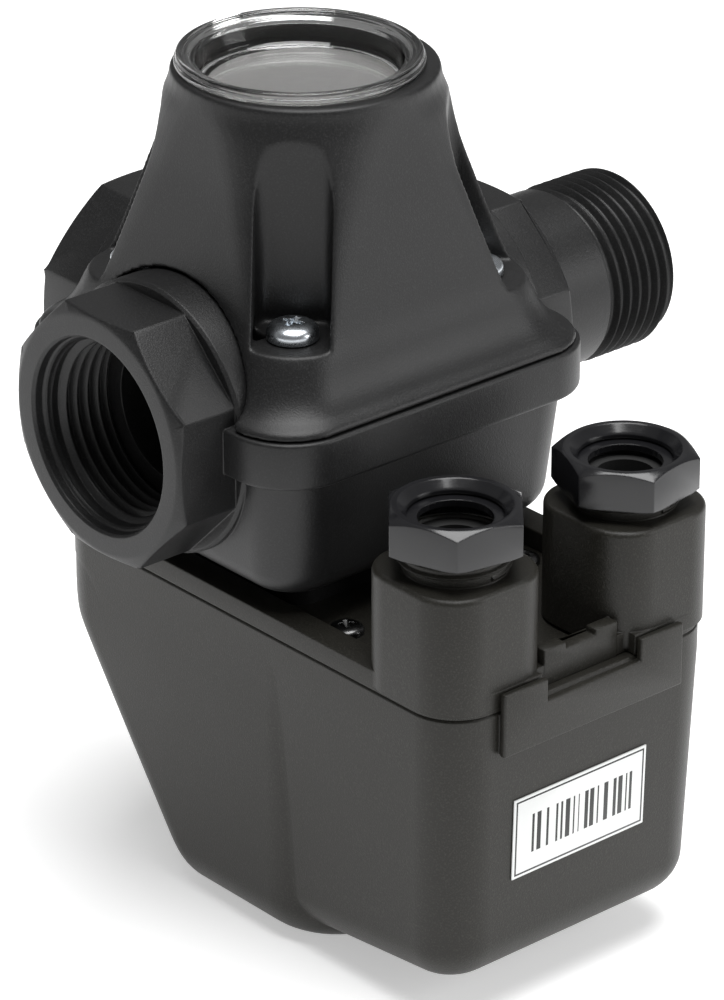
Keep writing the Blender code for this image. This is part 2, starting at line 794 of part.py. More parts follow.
def make_check_valve(plastic, rubber, steel, magnet_finish):
    """The poppet, its seal, magnet, spring, clip and guide, along the inlet's axis."""
    back = SEAT_START - 2.2 * MM - VALVE_DISC_THICKNESS
    front = SEAT_START - 2.2 * MM
    poppet = turned(
        "check_valve",
        (
            (0.0, back),
            (VALVE_DISC_RADIUS, back),
            (VALVE_DISC_RADIUS, front),
            (SEAT_RADIUS - 1.5 * MM, front),
            (VALVE_STEM_RADIUS, front + 5.0 * MM),
            (VALVE_STEM_RADIUS, VALVE_STEM_END),
            (0.0, VALVE_STEM_END),
        ),
        plastic,
        32,
    )
    seal = ring(
        "valve_seal",
        SEAT_RADIUS - 1.5 * MM + GAP,
        VALVE_DISC_RADIUS - 0.4 * MM,
        front + GAP,
        SEAT_START - GAP,
        rubber,
        32,
    )
    magnet = rod(
        "valve_magnet", MAGNET_RADIUS, back - GAP - MAGNET_LENGTH, back - GAP, magnet_finish
    )
    guide_low = GUIDE_START
    guide_high = GUIDE_START + GUIDE_LENGTH
    outer = MALE_BORE - GAP
    guide = ring("valve_guide", outer - GUIDE_RIM, outer, guide_low, guide_high, plastic)
    hub = rod("guide_hub", GUIDE_HUB_RADIUS, guide_low, guide_high)
    spokes = []
    for index in range(SPOKES):
        spoke = block(
            "guide_spoke_%d" % (index + 1),
            (0.0, outer - GUIDE_RIM * 0.5),
            (-0.8 * MM, 0.8 * MM),
            (guide_low + 0.4 * MM, guide_high - 0.4 * MM),
        )
        spoke.rotation_euler = (-math.pi / 2, 0.0, 0.0)
        turn = math.tau * index / SPOKES
        spoke.rotation_euler.rotate_axis("Z", turn)
        spokes.append(spoke)
    stem_hole = rod("guide_hole", VALVE_STEM_RADIUS + 0.1 * MM, guide_low - MM, guide_high + MM)
    for thing in (poppet, seal, magnet, guide, hub, stem_hole):
        point_along_y(thing)
    join(guide, hub, *spokes)
    cut(guide, stem_hole)
    clip_low = VALVE_STEM_END - 2.4 * MM
    clip = ring(
        "valve_clip",
        VALVE_STEM_RADIUS + GAP * 0.5,
        CLIP_RADIUS,
        clip_low,
        clip_low + CLIP_THICKNESS,
        steel,
        SMALL,
    )
    point_along_y(clip)
    spring = coil(
        "valve_spring",
        VALVE_SPRING_RADIUS,
        VALVE_SPRING_WIRE,
        VALVE_SPRING_TURNS,
        guide_high + GAP,
        clip_low - GAP,
        steel,
    )
    point_along_y(spring)


def side_inset(share_down):
    """How far the front part of the box has drawn in, from none at its lid to all at its floor."""
    return FRONT_DRAFT * share_down


def front_rings(inset):
    """The whole-length part of the box, drafted, with a floor that rises towards the front."""
    rings = []
    top = -PARTING_DROP + (MM if inset > 0.0 else 0.0)
    outline = rounded_outline(-BOX_REAR + inset, BOX_FRONT - inset, BOX_HALF_WIDTH - inset,
                              BOX_CORNER - inset * 0.8)
    rings.append(at_height(outline, top))
    rings.append(at_height(outline, -PARTING_DROP - SLANT_CLEAR))
    edge = FRONT_EDGE - inset
    for degrees in (90, 60, 30, 0):
        angle = math.radians(degrees)
        pull = inset + FRONT_DRAFT + edge * (1.0 - math.sin(angle))
        corner = max(BOX_CORNER - inset * 0.8 - edge * (1.0 - math.sin(angle)), 1.0 * MM)
        drop = FRONT_DROP - inset - edge * (1.0 - math.cos(angle))
        outline = rounded_outline(8.0 * MM, BOX_FRONT - pull, BOX_HALF_WIDTH - pull, corner)
        ring_points = []
        for x, y in outline:
            ring_points.append((x, y, -drop - FRONT_FLOOR_SLOPE * (BOX_FRONT - x)))
        rings.append(ring_points)
    return rings


def slant_x(drop, inset):
    """The rear wall's X at a depth: upright, then slanting, then curving into the floor."""
    slope = math.radians(SLANT_DEGREES)
    floor_drop = BELLY_DROP - inset
    radius = SLANT_FOOT - inset
    corner = -BOX_REAR + inset / math.sin(slope) + (floor_drop - SLANT_START_DROP) / math.tan(slope)
    rise = floor_drop - drop
    if rise < radius * (1.0 - math.cos(slope)):
        across = math.sqrt(max(radius**2 - (radius - rise) ** 2, 0.0))
        return corner + radius * math.tan(slope / 2.0) - across
    return max(-BOX_REAR + inset, corner - rise / math.tan(slope))


def belly_rings(inset):
    """The deep rear part of the box with its slanting rear wall."""
    rings = []
    low = BELLY_DROP - inset
    edge = BELLY_EDGE - inset
    drops = [PARTING_DROP + 3.0 * MM, SLANT_START_DROP - 2.0 * MM, SLANT_START_DROP + MM]
    drops.append(low - edge)
    pulls = [0.0] * len(drops)
    for degrees in (65, 40, 20, 0):
        angle = math.radians(degrees)
        drops.append(low - edge * (1.0 - math.cos(angle)))
        pulls.append(edge * (1.0 - math.sin(angle)))
    for drop, pull in zip(drops, pulls):
        outline = rounded_outline(
            slant_x(drop, inset),
            BELLY_FRONT - inset - pull,
            BOX_HALF_WIDTH - inset - pull,
            max(BOX_CORNER - inset - pull * 0.9, 1.2 * MM),
            max(BELLY_FRONT_CORNER - inset - pull * 0.9, 1.2 * MM),
        )
        rings.append(at_height(outline, -drop))
    return rings


def panel_frame():
    """Where the control panel sits on the slanting wall: its middle and its outward tilt."""
    slope = math.radians(SLANT_DEGREES)
    x = -BOX_REAR + PANEL_RUN * math.cos(slope)
    z = -SLANT_START_DROP - PANEL_RUN * math.sin(slope)
    tilt = -(math.pi - (math.pi / 2 - slope) - math.pi / 2) - math.pi / 2
    return x, z, tilt


def on_panel(thing, along, side):
    """Stands a thing made along +Z on the slanting wall, pointing outwards."""
    slope = math.radians(SLANT_DEGREES)
    x, z, _ = panel_frame()
    thing.location = (x + along * math.cos(slope), side, z - along * math.sin(slope))
    thing.rotation_euler = (0.0, math.pi + slope, 0.0)
    return thing


def make_control_box(material):
    """The box's moulded shell, with the tab that locks it to the lid."""
    box = loft("control_box", front_rings(0.0), material)
    join(box, loft("box_belly", belly_rings(0.0)))
    tab = block(
        "lock_tab",
        (BOX_FRONT - BOX_WALL * 0.5, BOX_FRONT + TAB_PROUD),
        (-TAB_HALF_WIDTH, TAB_HALF_WIDTH),
        (-TAB_BOTTOM_DROP, -PARTING_DROP - 0.2 * MM),
    )
    ears = block(
        "tab_ears",
        (BOX_FRONT + GAP, BOX_FRONT + TAB_PROUD),
        (-TAB_HALF_WIDTH, TAB_HALF_WIDTH),
        (-TAB_BOTTOM_DROP, -TAB_TOP_DROP),
    )
    join(box, tab, ears)
    hollow = loft("box_hollow", front_rings(BOX_WALL))
    belly_hollow = loft("belly_hollow", belly_rings(BOX_WALL))
    notch = block(
        "tab_notch",
        (BOX_FRONT - 2.0 * BOX_WALL, BOX_FRONT + 2.0 * TAB_PROUD),
        (-TAB_NOTCH_HALF, TAB_NOTCH_HALF),
        (-TAB_NOTCH_DROP, 0.0),
    )
    cut(box, hollow, belly_hollow, notch)
    posts = []
    for side in (-1, 1):
        post = rod("lid_post", POST_RADIUS, -PARTING_DROP - 16.0 * MM, -FLOOR_BOTTOM_DROP - GAP)
        post.location = (LID_SCREW_X, side * LID_SCREW_Y, 0.0)
        rib = block(
            "post_rib",
            (LID_SCREW_X - 1.2 * MM, LID_SCREW_X + 1.2 * MM),
            (min(side * LID_SCREW_Y, side * (BOX_HALF_WIDTH - MM)),
             max(side * LID_SCREW_Y, side * (BOX_HALF_WIDTH - MM))),
            (-PARTING_DROP - 16.0 * MM, -PARTING_DROP - SPIGOT_DEPTH - LID_FLOOR - MM),
        )
        pilot = rod("post_pilot", SMALL_SCREW_SHANK + GAP, -PARTING_DROP - 13.5 * MM, 0.0)
        pilot.location = post.location
        posts.append((post, rib, pilot))
    for post, rib, pilot in posts:
        join(box, post, rib)
        cut(box, pilot)
    holes = [on_panel(rod("button_hole", BUTTON_RADIUS + GAP, -6 * MM, 6 * MM), 0.0, BUTTON_SIDE)]
    for index in range(3):
        hole = rod("light_hole_%d" % index, LIGHT_RADIUS + GAP, -6 * MM, 6 * MM)
        holes.append(on_panel(hole, 0.0, light_side(index)))
    return cut(box, *holes)


def light_side(index):
    """Where a status light sits across the panel."""
    return BUTTON_SIDE + LIGHT_RUN + LIGHT_SPREAD * index


def make_panel(button_finish, board_finish, light_finishes):
    """The reset button, three status lights and the small board behind them."""
    button = turned(
        "reset_button",
        (
            (0.0, -BOX_WALL - 3.4 * MM),
            (1.6 * MM, -BOX_WALL - 3.4 * MM),
            (1.6 * MM, -BOX_WALL - GAP - BUTTON_FLANGE),
            (BUTTON_RADIUS + 1.4 * MM, -BOX_WALL - GAP - BUTTON_FLANGE),
            (BUTTON_RADIUS + 1.4 * MM, -BOX_WALL - GAP),
            (BUTTON_RADIUS, -BOX_WALL - GAP),
            (BUTTON_RADIUS, BUTTON_PROUD - 0.6 * MM),
            (BUTTON_RADIUS - 0.6 * MM, BUTTON_PROUD),
            (0.0, BUTTON_PROUD),
        ),
        button_finish,
        32,
    )
    on_panel(button, 0.0, BUTTON_SIDE)
    names = ("power", "pump", "fault")
    for index, light in enumerate(names):
        lens = turned(
            "status_light_" + light,
            (
                (0.0, -BOX_WALL - 2.2 * MM),
                (LIGHT_RADIUS, -BOX_WALL - 2.2 * MM),
                (LIGHT_RADIUS, 0.2 * MM),
                (LIGHT_RADIUS * 0.7, 0.8 * MM),
                (0.0, 1.1 * MM),
            ),
            light_finishes[index],
            16,
        )
        on_panel(lens, 0.0, light_side(index))
    back = -BOX_WALL - 3.4 * MM - BUTTON_TRAVEL - GAP
    board = block(
        "panel_board",
        (-PANEL_BOARD_HALF, PANEL_BOARD_HALF),
        (-PANEL_BOARD_WIDTH * 0.4, PANEL_BOARD_WIDTH),
        (back - BOARD_THICKNESS, back),
        board_finish,
    )
    on_panel(board, 0.0, BUTTON_SIDE)


def gland_spots():
    """Side, rest height and turn of each cable gland, nearer one first."""
    return (("left", -1, -NEAR_NUT_DROP, NEAR_NUT_TURN), ("right", 1, -FAR_NUT_DROP, FAR_NUT_TURN))


def boss_outline(centre_y):
    """A gland boss seen from above: a square with well rounded corners."""
    return [(GLAND_X + x, centre_y + y) for x, y in square_outline(BOSS_HALF, BOSS_CORNER)]


def make_box_lid(material):
    """The tray-shaped lid with two gland bosses and a raised wall between them."""
    outline = rounded_outline(-BOX_REAR, BOX_FRONT, BOX_HALF_WIDTH, BOX_CORNER)
    lid = prism("box_lid", outline, GAP - PARTING_DROP, -LID_TOP_DROP, material)
    inset = SPIGOT_INSET
    spigot = prism(
        "lid_spigot",
        rounded_outline(-BOX_REAR + inset, BOX_FRONT - inset, BOX_HALF_WIDTH - inset, 5.0 * MM),
        -FLOOR_BOTTOM_DROP,
        MM - PARTING_DROP,
    )
    bosses = []
    for tag, side, _, _ in gland_spots():
        centre = side * GLAND_Y
        bosses.append(prism("boss_" + tag, boss_outline(centre), 0.5 * MM - PARTING_DROP, -BOSS_TOP_DROP))
        spout = turned(
            "spout_" + tag,
            (
                (0.0, -BOSS_TOP_DROP - MM),
                (SPOUT_RADIUS - THREAD_DEPTH, -BOSS_TOP_DROP - MM),
                *thread_profile(
                    SPOUT_RADIUS, SPOUT_RADIUS - THREAD_DEPTH, -BOSS_TOP_DROP, GLAND_PITCH, 3
                ),
                (SPOUT_RADIUS - THREAD_DEPTH, SPOUT_TOP),
                (0.0, SPOUT_TOP),
            ),
            steps=THREAD_STEPS,
        )
        spout.location = (GLAND_X, centre, 0.0)
        bosses.append(spout)
    wall = block(
        "front_wall",
        (BOX_FRONT - RIM_WIDTH + 0.2 * MM, BOX_FRONT - FRONT_WALL_SETBACK),
        (BOSS_HALF - GLAND_Y - MM, GLAND_Y - BOSS_HALF + MM),
        (0.5 * MM - PARTING_DROP, FRONT_WALL_RISE - PARTING_DROP),
    )
    recess = prism(
        "lid_recess",
        rounded_outline(
            -BOX_REAR + RIM_WIDTH,
            BOX_FRONT - RIM_WIDTH,
            BOX_HALF_WIDTH - RIM_WIDTH,
            BOX_CORNER - RIM_WIDTH,
        ),
        -FLOOR_TOP_DROP,
        0.0,
    )
    setback = block(
        "front_setback",
        (BOX_FRONT - FRONT_WALL_SETBACK - 0.1 * MM, BOX_FRONT + MM),
        (-TAB_NOTCH_HALF, TAB_NOTCH_HALF),
        (-PARTING_DROP - LID_FLOOR, 0.0),
    )
    posts = []
    holes = []
    for x, y in POST_SPOTS:
        post = rod("board_post", POST_RADIUS, GAP - BOARD_DROP, MM * 0.5 - FLOOR_BOTTOM_DROP)
        post.location = (x * MM, y * MM, 0.0)
        posts.append(post)
        hole = rod("board_pilot", SMALL_SCREW_SHANK + GAP, -BOARD_DROP - MM, MM * 0.2 - FLOOR_BOTTOM_DROP)
        hole.location = post.location
        holes.append(hole)
    for tag, side, _, _ in gland_spots():
        bore = rod("gland_bore_" + tag, SPOUT_BORE, -FLOOR_BOTTOM_DROP - MM, 0.0, steps=32)
        bore.location = (GLAND_X, side * GLAND_Y, 0.0)
        holes.append(bore)
    for side in (-1, 1):
        hole = rod("lid_screw_hole", SMALL_SCREW_SHANK + GAP, -FLOOR_BOTTOM_DROP - MM, 0.0)
        hole.location = (LID_SCREW_X, side * LID_SCREW_Y, 0.0)
        holes.append(hole)
        for fore in (-1, 1):
            hole = rod("body_screw_hole", SMALL_SCREW_SHANK + GAP, -FLOOR_BOTTOM_DROP - MM, 0.0)
            hole.location = (fore * BODY_SCREW_SPOT, side * BODY_SCREW_SPOT, 0.0)
            holes.append(hole)
    join(lid, spigot)
    cut(lid, recess, setback)
    join(lid, wall, *bosses, *posts)
    cut(lid, *holes)
    return solve_as_manifold(lid)


def make_lid_gasket(material):
    """The rubber gasket between the lid's spigot and the box's wall."""
    inner = SPIGOT_INSET - GAP
    outer = BOX_WALL + GAP
    high = -PARTING_DROP - 0.2 * MM
    low = high - 1.6 * MM
    gasket = prism(
        "lid_gasket",
        rounded_outline(
            -BOX_REAR + outer, BOX_FRONT - outer, BOX_HALF_WIDTH - outer, BOX_CORNER - outer
        ),
        low,
        high,
        material,
    )
    hole = prism(
        "gasket_hole",
        rounded_outline(-BOX_REAR + inner, BOX_FRONT - inner, BOX_HALF_WIDTH - inner, 5.0 * MM),
        low - MM,
        high + MM,
    )
    return cut(gasket, hole)


def make_gland(tag, side, low, turn, nut_finish, washer_finish, seal_finish):
    """One cable gland: the nut, the washer it presses on and the rubber seal."""
    place = (GLAND_X, side * GLAND_Y, 0.0)
    high = low + NUT_HEIGHT
    shoulder = high - NUT_SHOULDER
    corner_radius = NUT_ACROSS_FLATS / math.sqrt(3.0)
    nut = prism("gland_nut_" + tag, regular_outline(corner_radius, 6), low, high, nut_finish)
    lathe = turned(
        "nut_lathe_" + tag,
        (
            (SPOUT_RADIUS + 0.2 * MM, low - MM),
            (corner_radius + GAP, low - MM),
            (corner_radius + GAP, high - 1.1 * MM),
            (NUT_ACROSS_FLATS * 0.5 - 0.4 * MM, high + 0.1 * MM),
            (NUT_MOUTH + NUT_MOUTH_CHAMFER, high + 0.1 * MM),
            (NUT_MOUTH, high - NUT_MOUTH_CHAMFER),
            (NUT_MOUTH, shoulder),
            (SPOUT_RADIUS + 0.2 * MM, shoulder),
        ),
        steps=THREAD_STEPS,
    )
    boolean(nut, lathe, "INTERSECT")
    for thing in (nut, lathe):
        thing.location = place
        thing.rotation_euler = (0.0, 0.0, math.radians(turn))
    washer_top = shoulder - GAP
    washer = ring(
        "gland_washer_" + tag,
        WASHER_BORE,
        SPOUT_RADIUS - 0.3 * MM,
        washer_top - WASHER_THICKNESS,
        washer_top,
        washer_finish,
        32,
    )
    washer.location = place
    seal_top = SPOUT_TOP - GAP
    seal = ring(
        "gland_seal_" + tag,
        SEAL_BORE,
        SPOUT_BORE - GAP,
        -BOSS_TOP_DROP - 4.0 * MM,
        seal_top,
        seal_finish,
        32,
    )
    seal.location = place


def make_electronics(board_finish, parts):
    """The main circuit board, its screws and the parts that hang below it."""
    top = -BOARD_DROP
    under = top - BOARD_THICKNESS
    board = block(
        "circuit_board",
        (-BOARD_REAR, BOARD_FRONT),
        (-BOARD_HALF_WIDTH, BOARD_HALF_WIDTH),
        (under, top),
        board_finish,
    )
    for index, (x, y) in enumerate(POST_SPOTS):
        hole = rod("board_hole", SMALL_SCREW_SHANK + GAP, under - MM, top + MM)
        hole.location = (x * MM, y * MM, 0.0)
        cut(board, hole)
        screw(
            "board_screw_%d" % (index + 1),
            (x * MM, y * MM),
            under - GAP,
            SMALL_SCREW_HEAD,
            SMALL_SCREW_HEAD_HEIGHT,
            SMALL_SCREW_SHANK,
            7.0 * MM,
            parts["steel"],
            upside_down=True,
        )
    notches = []
    for side in (-1, 1):
        notch = block(
            "board_notch",
            (LID_SCREW_X - POST_RADIUS - MM, LID_SCREW_X + POST_RADIUS + MM),
            (min(side * (LID_SCREW_Y - POST_RADIUS - MM), side * 40 * MM),
             max(side * (LID_SCREW_Y - POST_RADIUS - MM), side * 40 * MM)),
            (under - MM, top + MM),
        )
        notches.append(notch)
    cut(board, *notches)
    hang_below("transformer", TRANSFORMER_SPOT, TRANSFORMER_SIZE, under, parts["yellow"], 1.0)
    hang_below("relay", RELAY_SPOT, RELAY_SIZE, under, parts["blue"], 0.6)
    hang_below("supply_capacitor", CAPACITOR_SPOT, CAPACITOR_SIZE, under, parts["red"], 1.5)
    terminal = hang_below("terminal_block", TERMINAL_SPOT, TERMINAL_SIZE, under, parts["green"], 0.5)
    pitch = TERMINAL_SIZE[1] / TERMINAL_WAYS
    for index in range(TERMINAL_WAYS):
        y = (TERMINAL_SPOT[1] - TERMINAL_SIZE[1] * 0.5 + pitch * (index + 0.5)) * MM
        middle = under - TERMINAL_SIZE[2] * 0.5 * MM
        entry = block(
            "terminal_entry_%d" % index,
            ((TERMINAL_SPOT[0] - 1.0) * MM, (TERMINAL_SPOT[0] + 20.0) * MM),
            (y - 1.7 * MM, y + 1.7 * MM),
            (middle - 1.9 * MM, middle + 1.9 * MM),
        )
        cut(terminal, entry)
    sensor = rod("flow_sensor", SENSOR_RADIUS, -SENSOR_LENGTH * 0.5, SENSOR_LENGTH * 0.5,
                 parts["glass"], 12)
    point_along_y(sensor)
    sensor.location = (SENSOR_SPOT[0] * MM, SENSOR_SPOT[1] * MM, top + GAP + SENSOR_RADIUS)


def hang_below(name, spot, size, under, material, edge):
    """A moulded component hanging from the board's lower face."""
    half_x = size[0] * 0.5 * MM
    half_y = size[1] * 0.5 * MM
    outline = rounded_outline(-half_x, half_x, half_y, edge * MM, steps=2)
    outline = [(x + spot[0] * MM, y + spot[1] * MM) for x, y in outline]
    return prism(name, outline, under - GAP - size[2] * MM, under - GAP, material)


def make_screws(steel):
    """The cover, lid and body screws."""
    reach = SCREW_RUN / math.sqrt(2.0)
    corners = (("front_left", 1, -1), ("front_right", 1, 1), ("rear_left", -1, -1), ("rear_right", -1, 1))
    for tag, side_x, side_y in corners:
        screw(
            "cover_screw_" + tag,
            (side_x * reach, side_y * reach),
            CHANNEL_FLOOR + GAP,
            SCREW_HEAD_RADIUS,
            SCREW_HEAD_HEIGHT,
            SCREW_SHANK_RADIUS,
            CHANNEL_FLOOR + 2.0 * MM,
            steel,
        )
        screw(
            "body_screw_" + tag,
            (side_x * BODY_SCREW_SPOT, side_y * BODY_SCREW_SPOT),
            -FLOOR_BOTTOM_DROP - GAP,
            SMALL_SCREW_HEAD,
            SMALL_SCREW_HEAD_HEIGHT,
            SMALL_SCREW_SHANK,
            8.0 * MM,
            steel,
            upside_down=True,
        )
    for tag, side in (("left", -1), ("right", 1)):
        screw(
            "lid_screw_" + tag,
            (LID_SCREW_X, side * LID_SCREW_Y),
            -FLOOR_TOP_DROP + GAP,
            SMALL_SCREW_HEAD,
            SMALL_SCREW_HEAD_HEIGHT,
            SMALL_SCREW_SHANK,
            12.0 * MM,
            steel,
        )


def make_label(material):
    """The blank rating label on the box's front."""
    share = (LABEL_TOP_DROP + LABEL_BOTTOM_DROP) * 0.5 - PARTING_DROP
    face = BOX_FRONT - side_inset(share / (FRONT_DROP - FRONT_EDGE - PARTING_DROP))
    lean = FRONT_DRAFT / (FRONT_DROP - FRONT_EDGE - PARTING_DROP)
    rings = []
    for drop in (LABEL_BOTTOM_DROP, LABEL_TOP_DROP):
        x = face - (drop - PARTING_DROP - share) * lean + 0.1 * MM
        rings.append((
            (x + LABEL_THICKNESS, LABEL_RIGHT, -drop),
            (x, LABEL_RIGHT, -drop),
            (x, LABEL_LEFT, -drop),
            (x + LABEL_THICKNESS, LABEL_LEFT, -drop),
        ))
    return loft("rating_label", rings, material)


def main():
    """Builds every piece of the switch in order."""
    black = finish("black_nylon", 0.035, 0.035, 0.034, 0.5)
    box_black = finish("box_black", 0.042, 0.042, 0.038, 0.55)
    nut_black = finish("gloss_black", 0.02, 0.02, 0.02, 0.2)
    clear = finish("clear_polycarbonate", 0.85, 0.86, 0.86, 0.05)
    grey = finish("pale_grey", 0.55, 0.54, 0.56, 0.4)
    steel = finish("zinc_steel", 0.72, 0.74, 0.76, 0.25, 1.0)
    rubber = finish("black_rubber", 0.015, 0.015, 0.015, 0.8)
    white = finish("white_plastic", 0.8, 0.8, 0.78, 0.4)
    label_white = finish("label_white", 0.86, 0.87, 0.86, 0.35)
    board_green = finish("board_green", 0.03, 0.2, 0.08, 0.4)
    magnet_grey = finish("magnet", 0.2, 0.2, 0.21, 0.35, 1.0)
    lights = (
        finish("light_green", 0.1, 0.6, 0.15, 0.15),
        finish("light_amber", 0.8, 0.5, 0.05, 0.15),
        finish("light_red", 0.7, 0.05, 0.03, 0.15),
    )
    parts = {
        "steel": steel,
        "yellow": finish("transformer_tape", 0.7, 0.55, 0.1, 0.5),
        "blue": finish("relay_blue", 0.05, 0.12, 0.4, 0.4),
        "red": finish("capacitor_red", 0.45, 0.06, 0.04, 0.4),
        "green": finish("terminal_green", 0.05, 0.35, 0.15, 0.4),
        "glass": finish("sensor_glass", 0.5, 0.6, 0.55, 0.1),
    }
    make_hydraulic_body(black)
    make_cone_cover(black)
    make_cap(clear)
    rod("sight_disc", CAP_MOUTH - 1.0 * MM, DISC_BOTTOM, DISC_TOP, grey, ROUND)
    make_diaphragm(rubber)
    make_diaphragm_plate(white)
    make_storage_spring(steel)
    make_check_valve(white, rubber, steel, magnet_grey)
    make_control_box(box_black)
    make_panel(nut_black, board_green, lights)
    make_box_lid(box_black)
    make_lid_gasket(rubber)
    for tag, side, low, turn in gland_spots():
        make_gland(tag, side, low, turn, nut_black, white, rubber)
    make_electronics(board_green, parts)
    make_screws(steel)
    make_label(label_white)


for leftover in list(bpy.data.objects):
    bpy.data.objects.remove(leftover)
CROSSING = bpy.data.objects.new("port_crossing", None)
bpy.context.scene.collection.objects.link(CROSSING)
CROSSING.location = (-STAND_CENTRE, 0.0, BELLY_DROP)
main()
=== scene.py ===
"""Looks of the pump pressure switch, modelled over its CAD frame.

Each visible moulding is built again with fine edges, real threads and a procedural finish. All
sizes are in metres from the crossing of the port axes, which the frame's own boxes give.
"""

import logging
import math
from dataclasses import dataclass
from enum import Enum
from typing import Callable, Iterable, Sequence

import bmesh
import bpy
from mathutils import Matrix, Vector


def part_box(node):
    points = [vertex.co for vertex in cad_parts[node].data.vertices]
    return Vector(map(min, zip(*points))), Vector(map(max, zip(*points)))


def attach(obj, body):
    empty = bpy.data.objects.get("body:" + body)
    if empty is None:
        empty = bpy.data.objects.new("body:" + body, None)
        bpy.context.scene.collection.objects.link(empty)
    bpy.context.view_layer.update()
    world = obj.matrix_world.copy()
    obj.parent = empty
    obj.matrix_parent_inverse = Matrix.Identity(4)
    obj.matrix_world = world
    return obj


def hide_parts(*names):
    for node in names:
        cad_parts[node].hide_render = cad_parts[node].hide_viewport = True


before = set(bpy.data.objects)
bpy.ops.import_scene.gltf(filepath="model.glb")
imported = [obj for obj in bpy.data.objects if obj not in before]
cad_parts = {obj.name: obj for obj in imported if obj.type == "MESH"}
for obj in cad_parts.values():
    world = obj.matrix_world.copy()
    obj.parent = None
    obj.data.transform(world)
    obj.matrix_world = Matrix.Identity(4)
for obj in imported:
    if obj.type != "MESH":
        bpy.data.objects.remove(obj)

MM = 0.001
FULL_TURN = math.tau
WELD = 1e-6
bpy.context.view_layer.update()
LOG = logging.getLogger("pressure_switch")

Point2 = tuple[float, float]


class Facing(Enum):
    """Which way a port tool made along +Z is turned."""

    FRONT_LEFT = (-math.pi / 2, math.pi)
    REAR_LEFT = (-math.pi / 2, math.pi / 2)
    REAR_RIGHT = (-math.pi / 2, 0.0)


def in_metres(points: Iterable[Point2]) -> list[Point2]:
    """Turns (radius, height) pairs in millimetres into metres."""
    return [(radius * MM, height * MM) for radius, height in points]


# ---------------------------------------------------------------- modelling bench


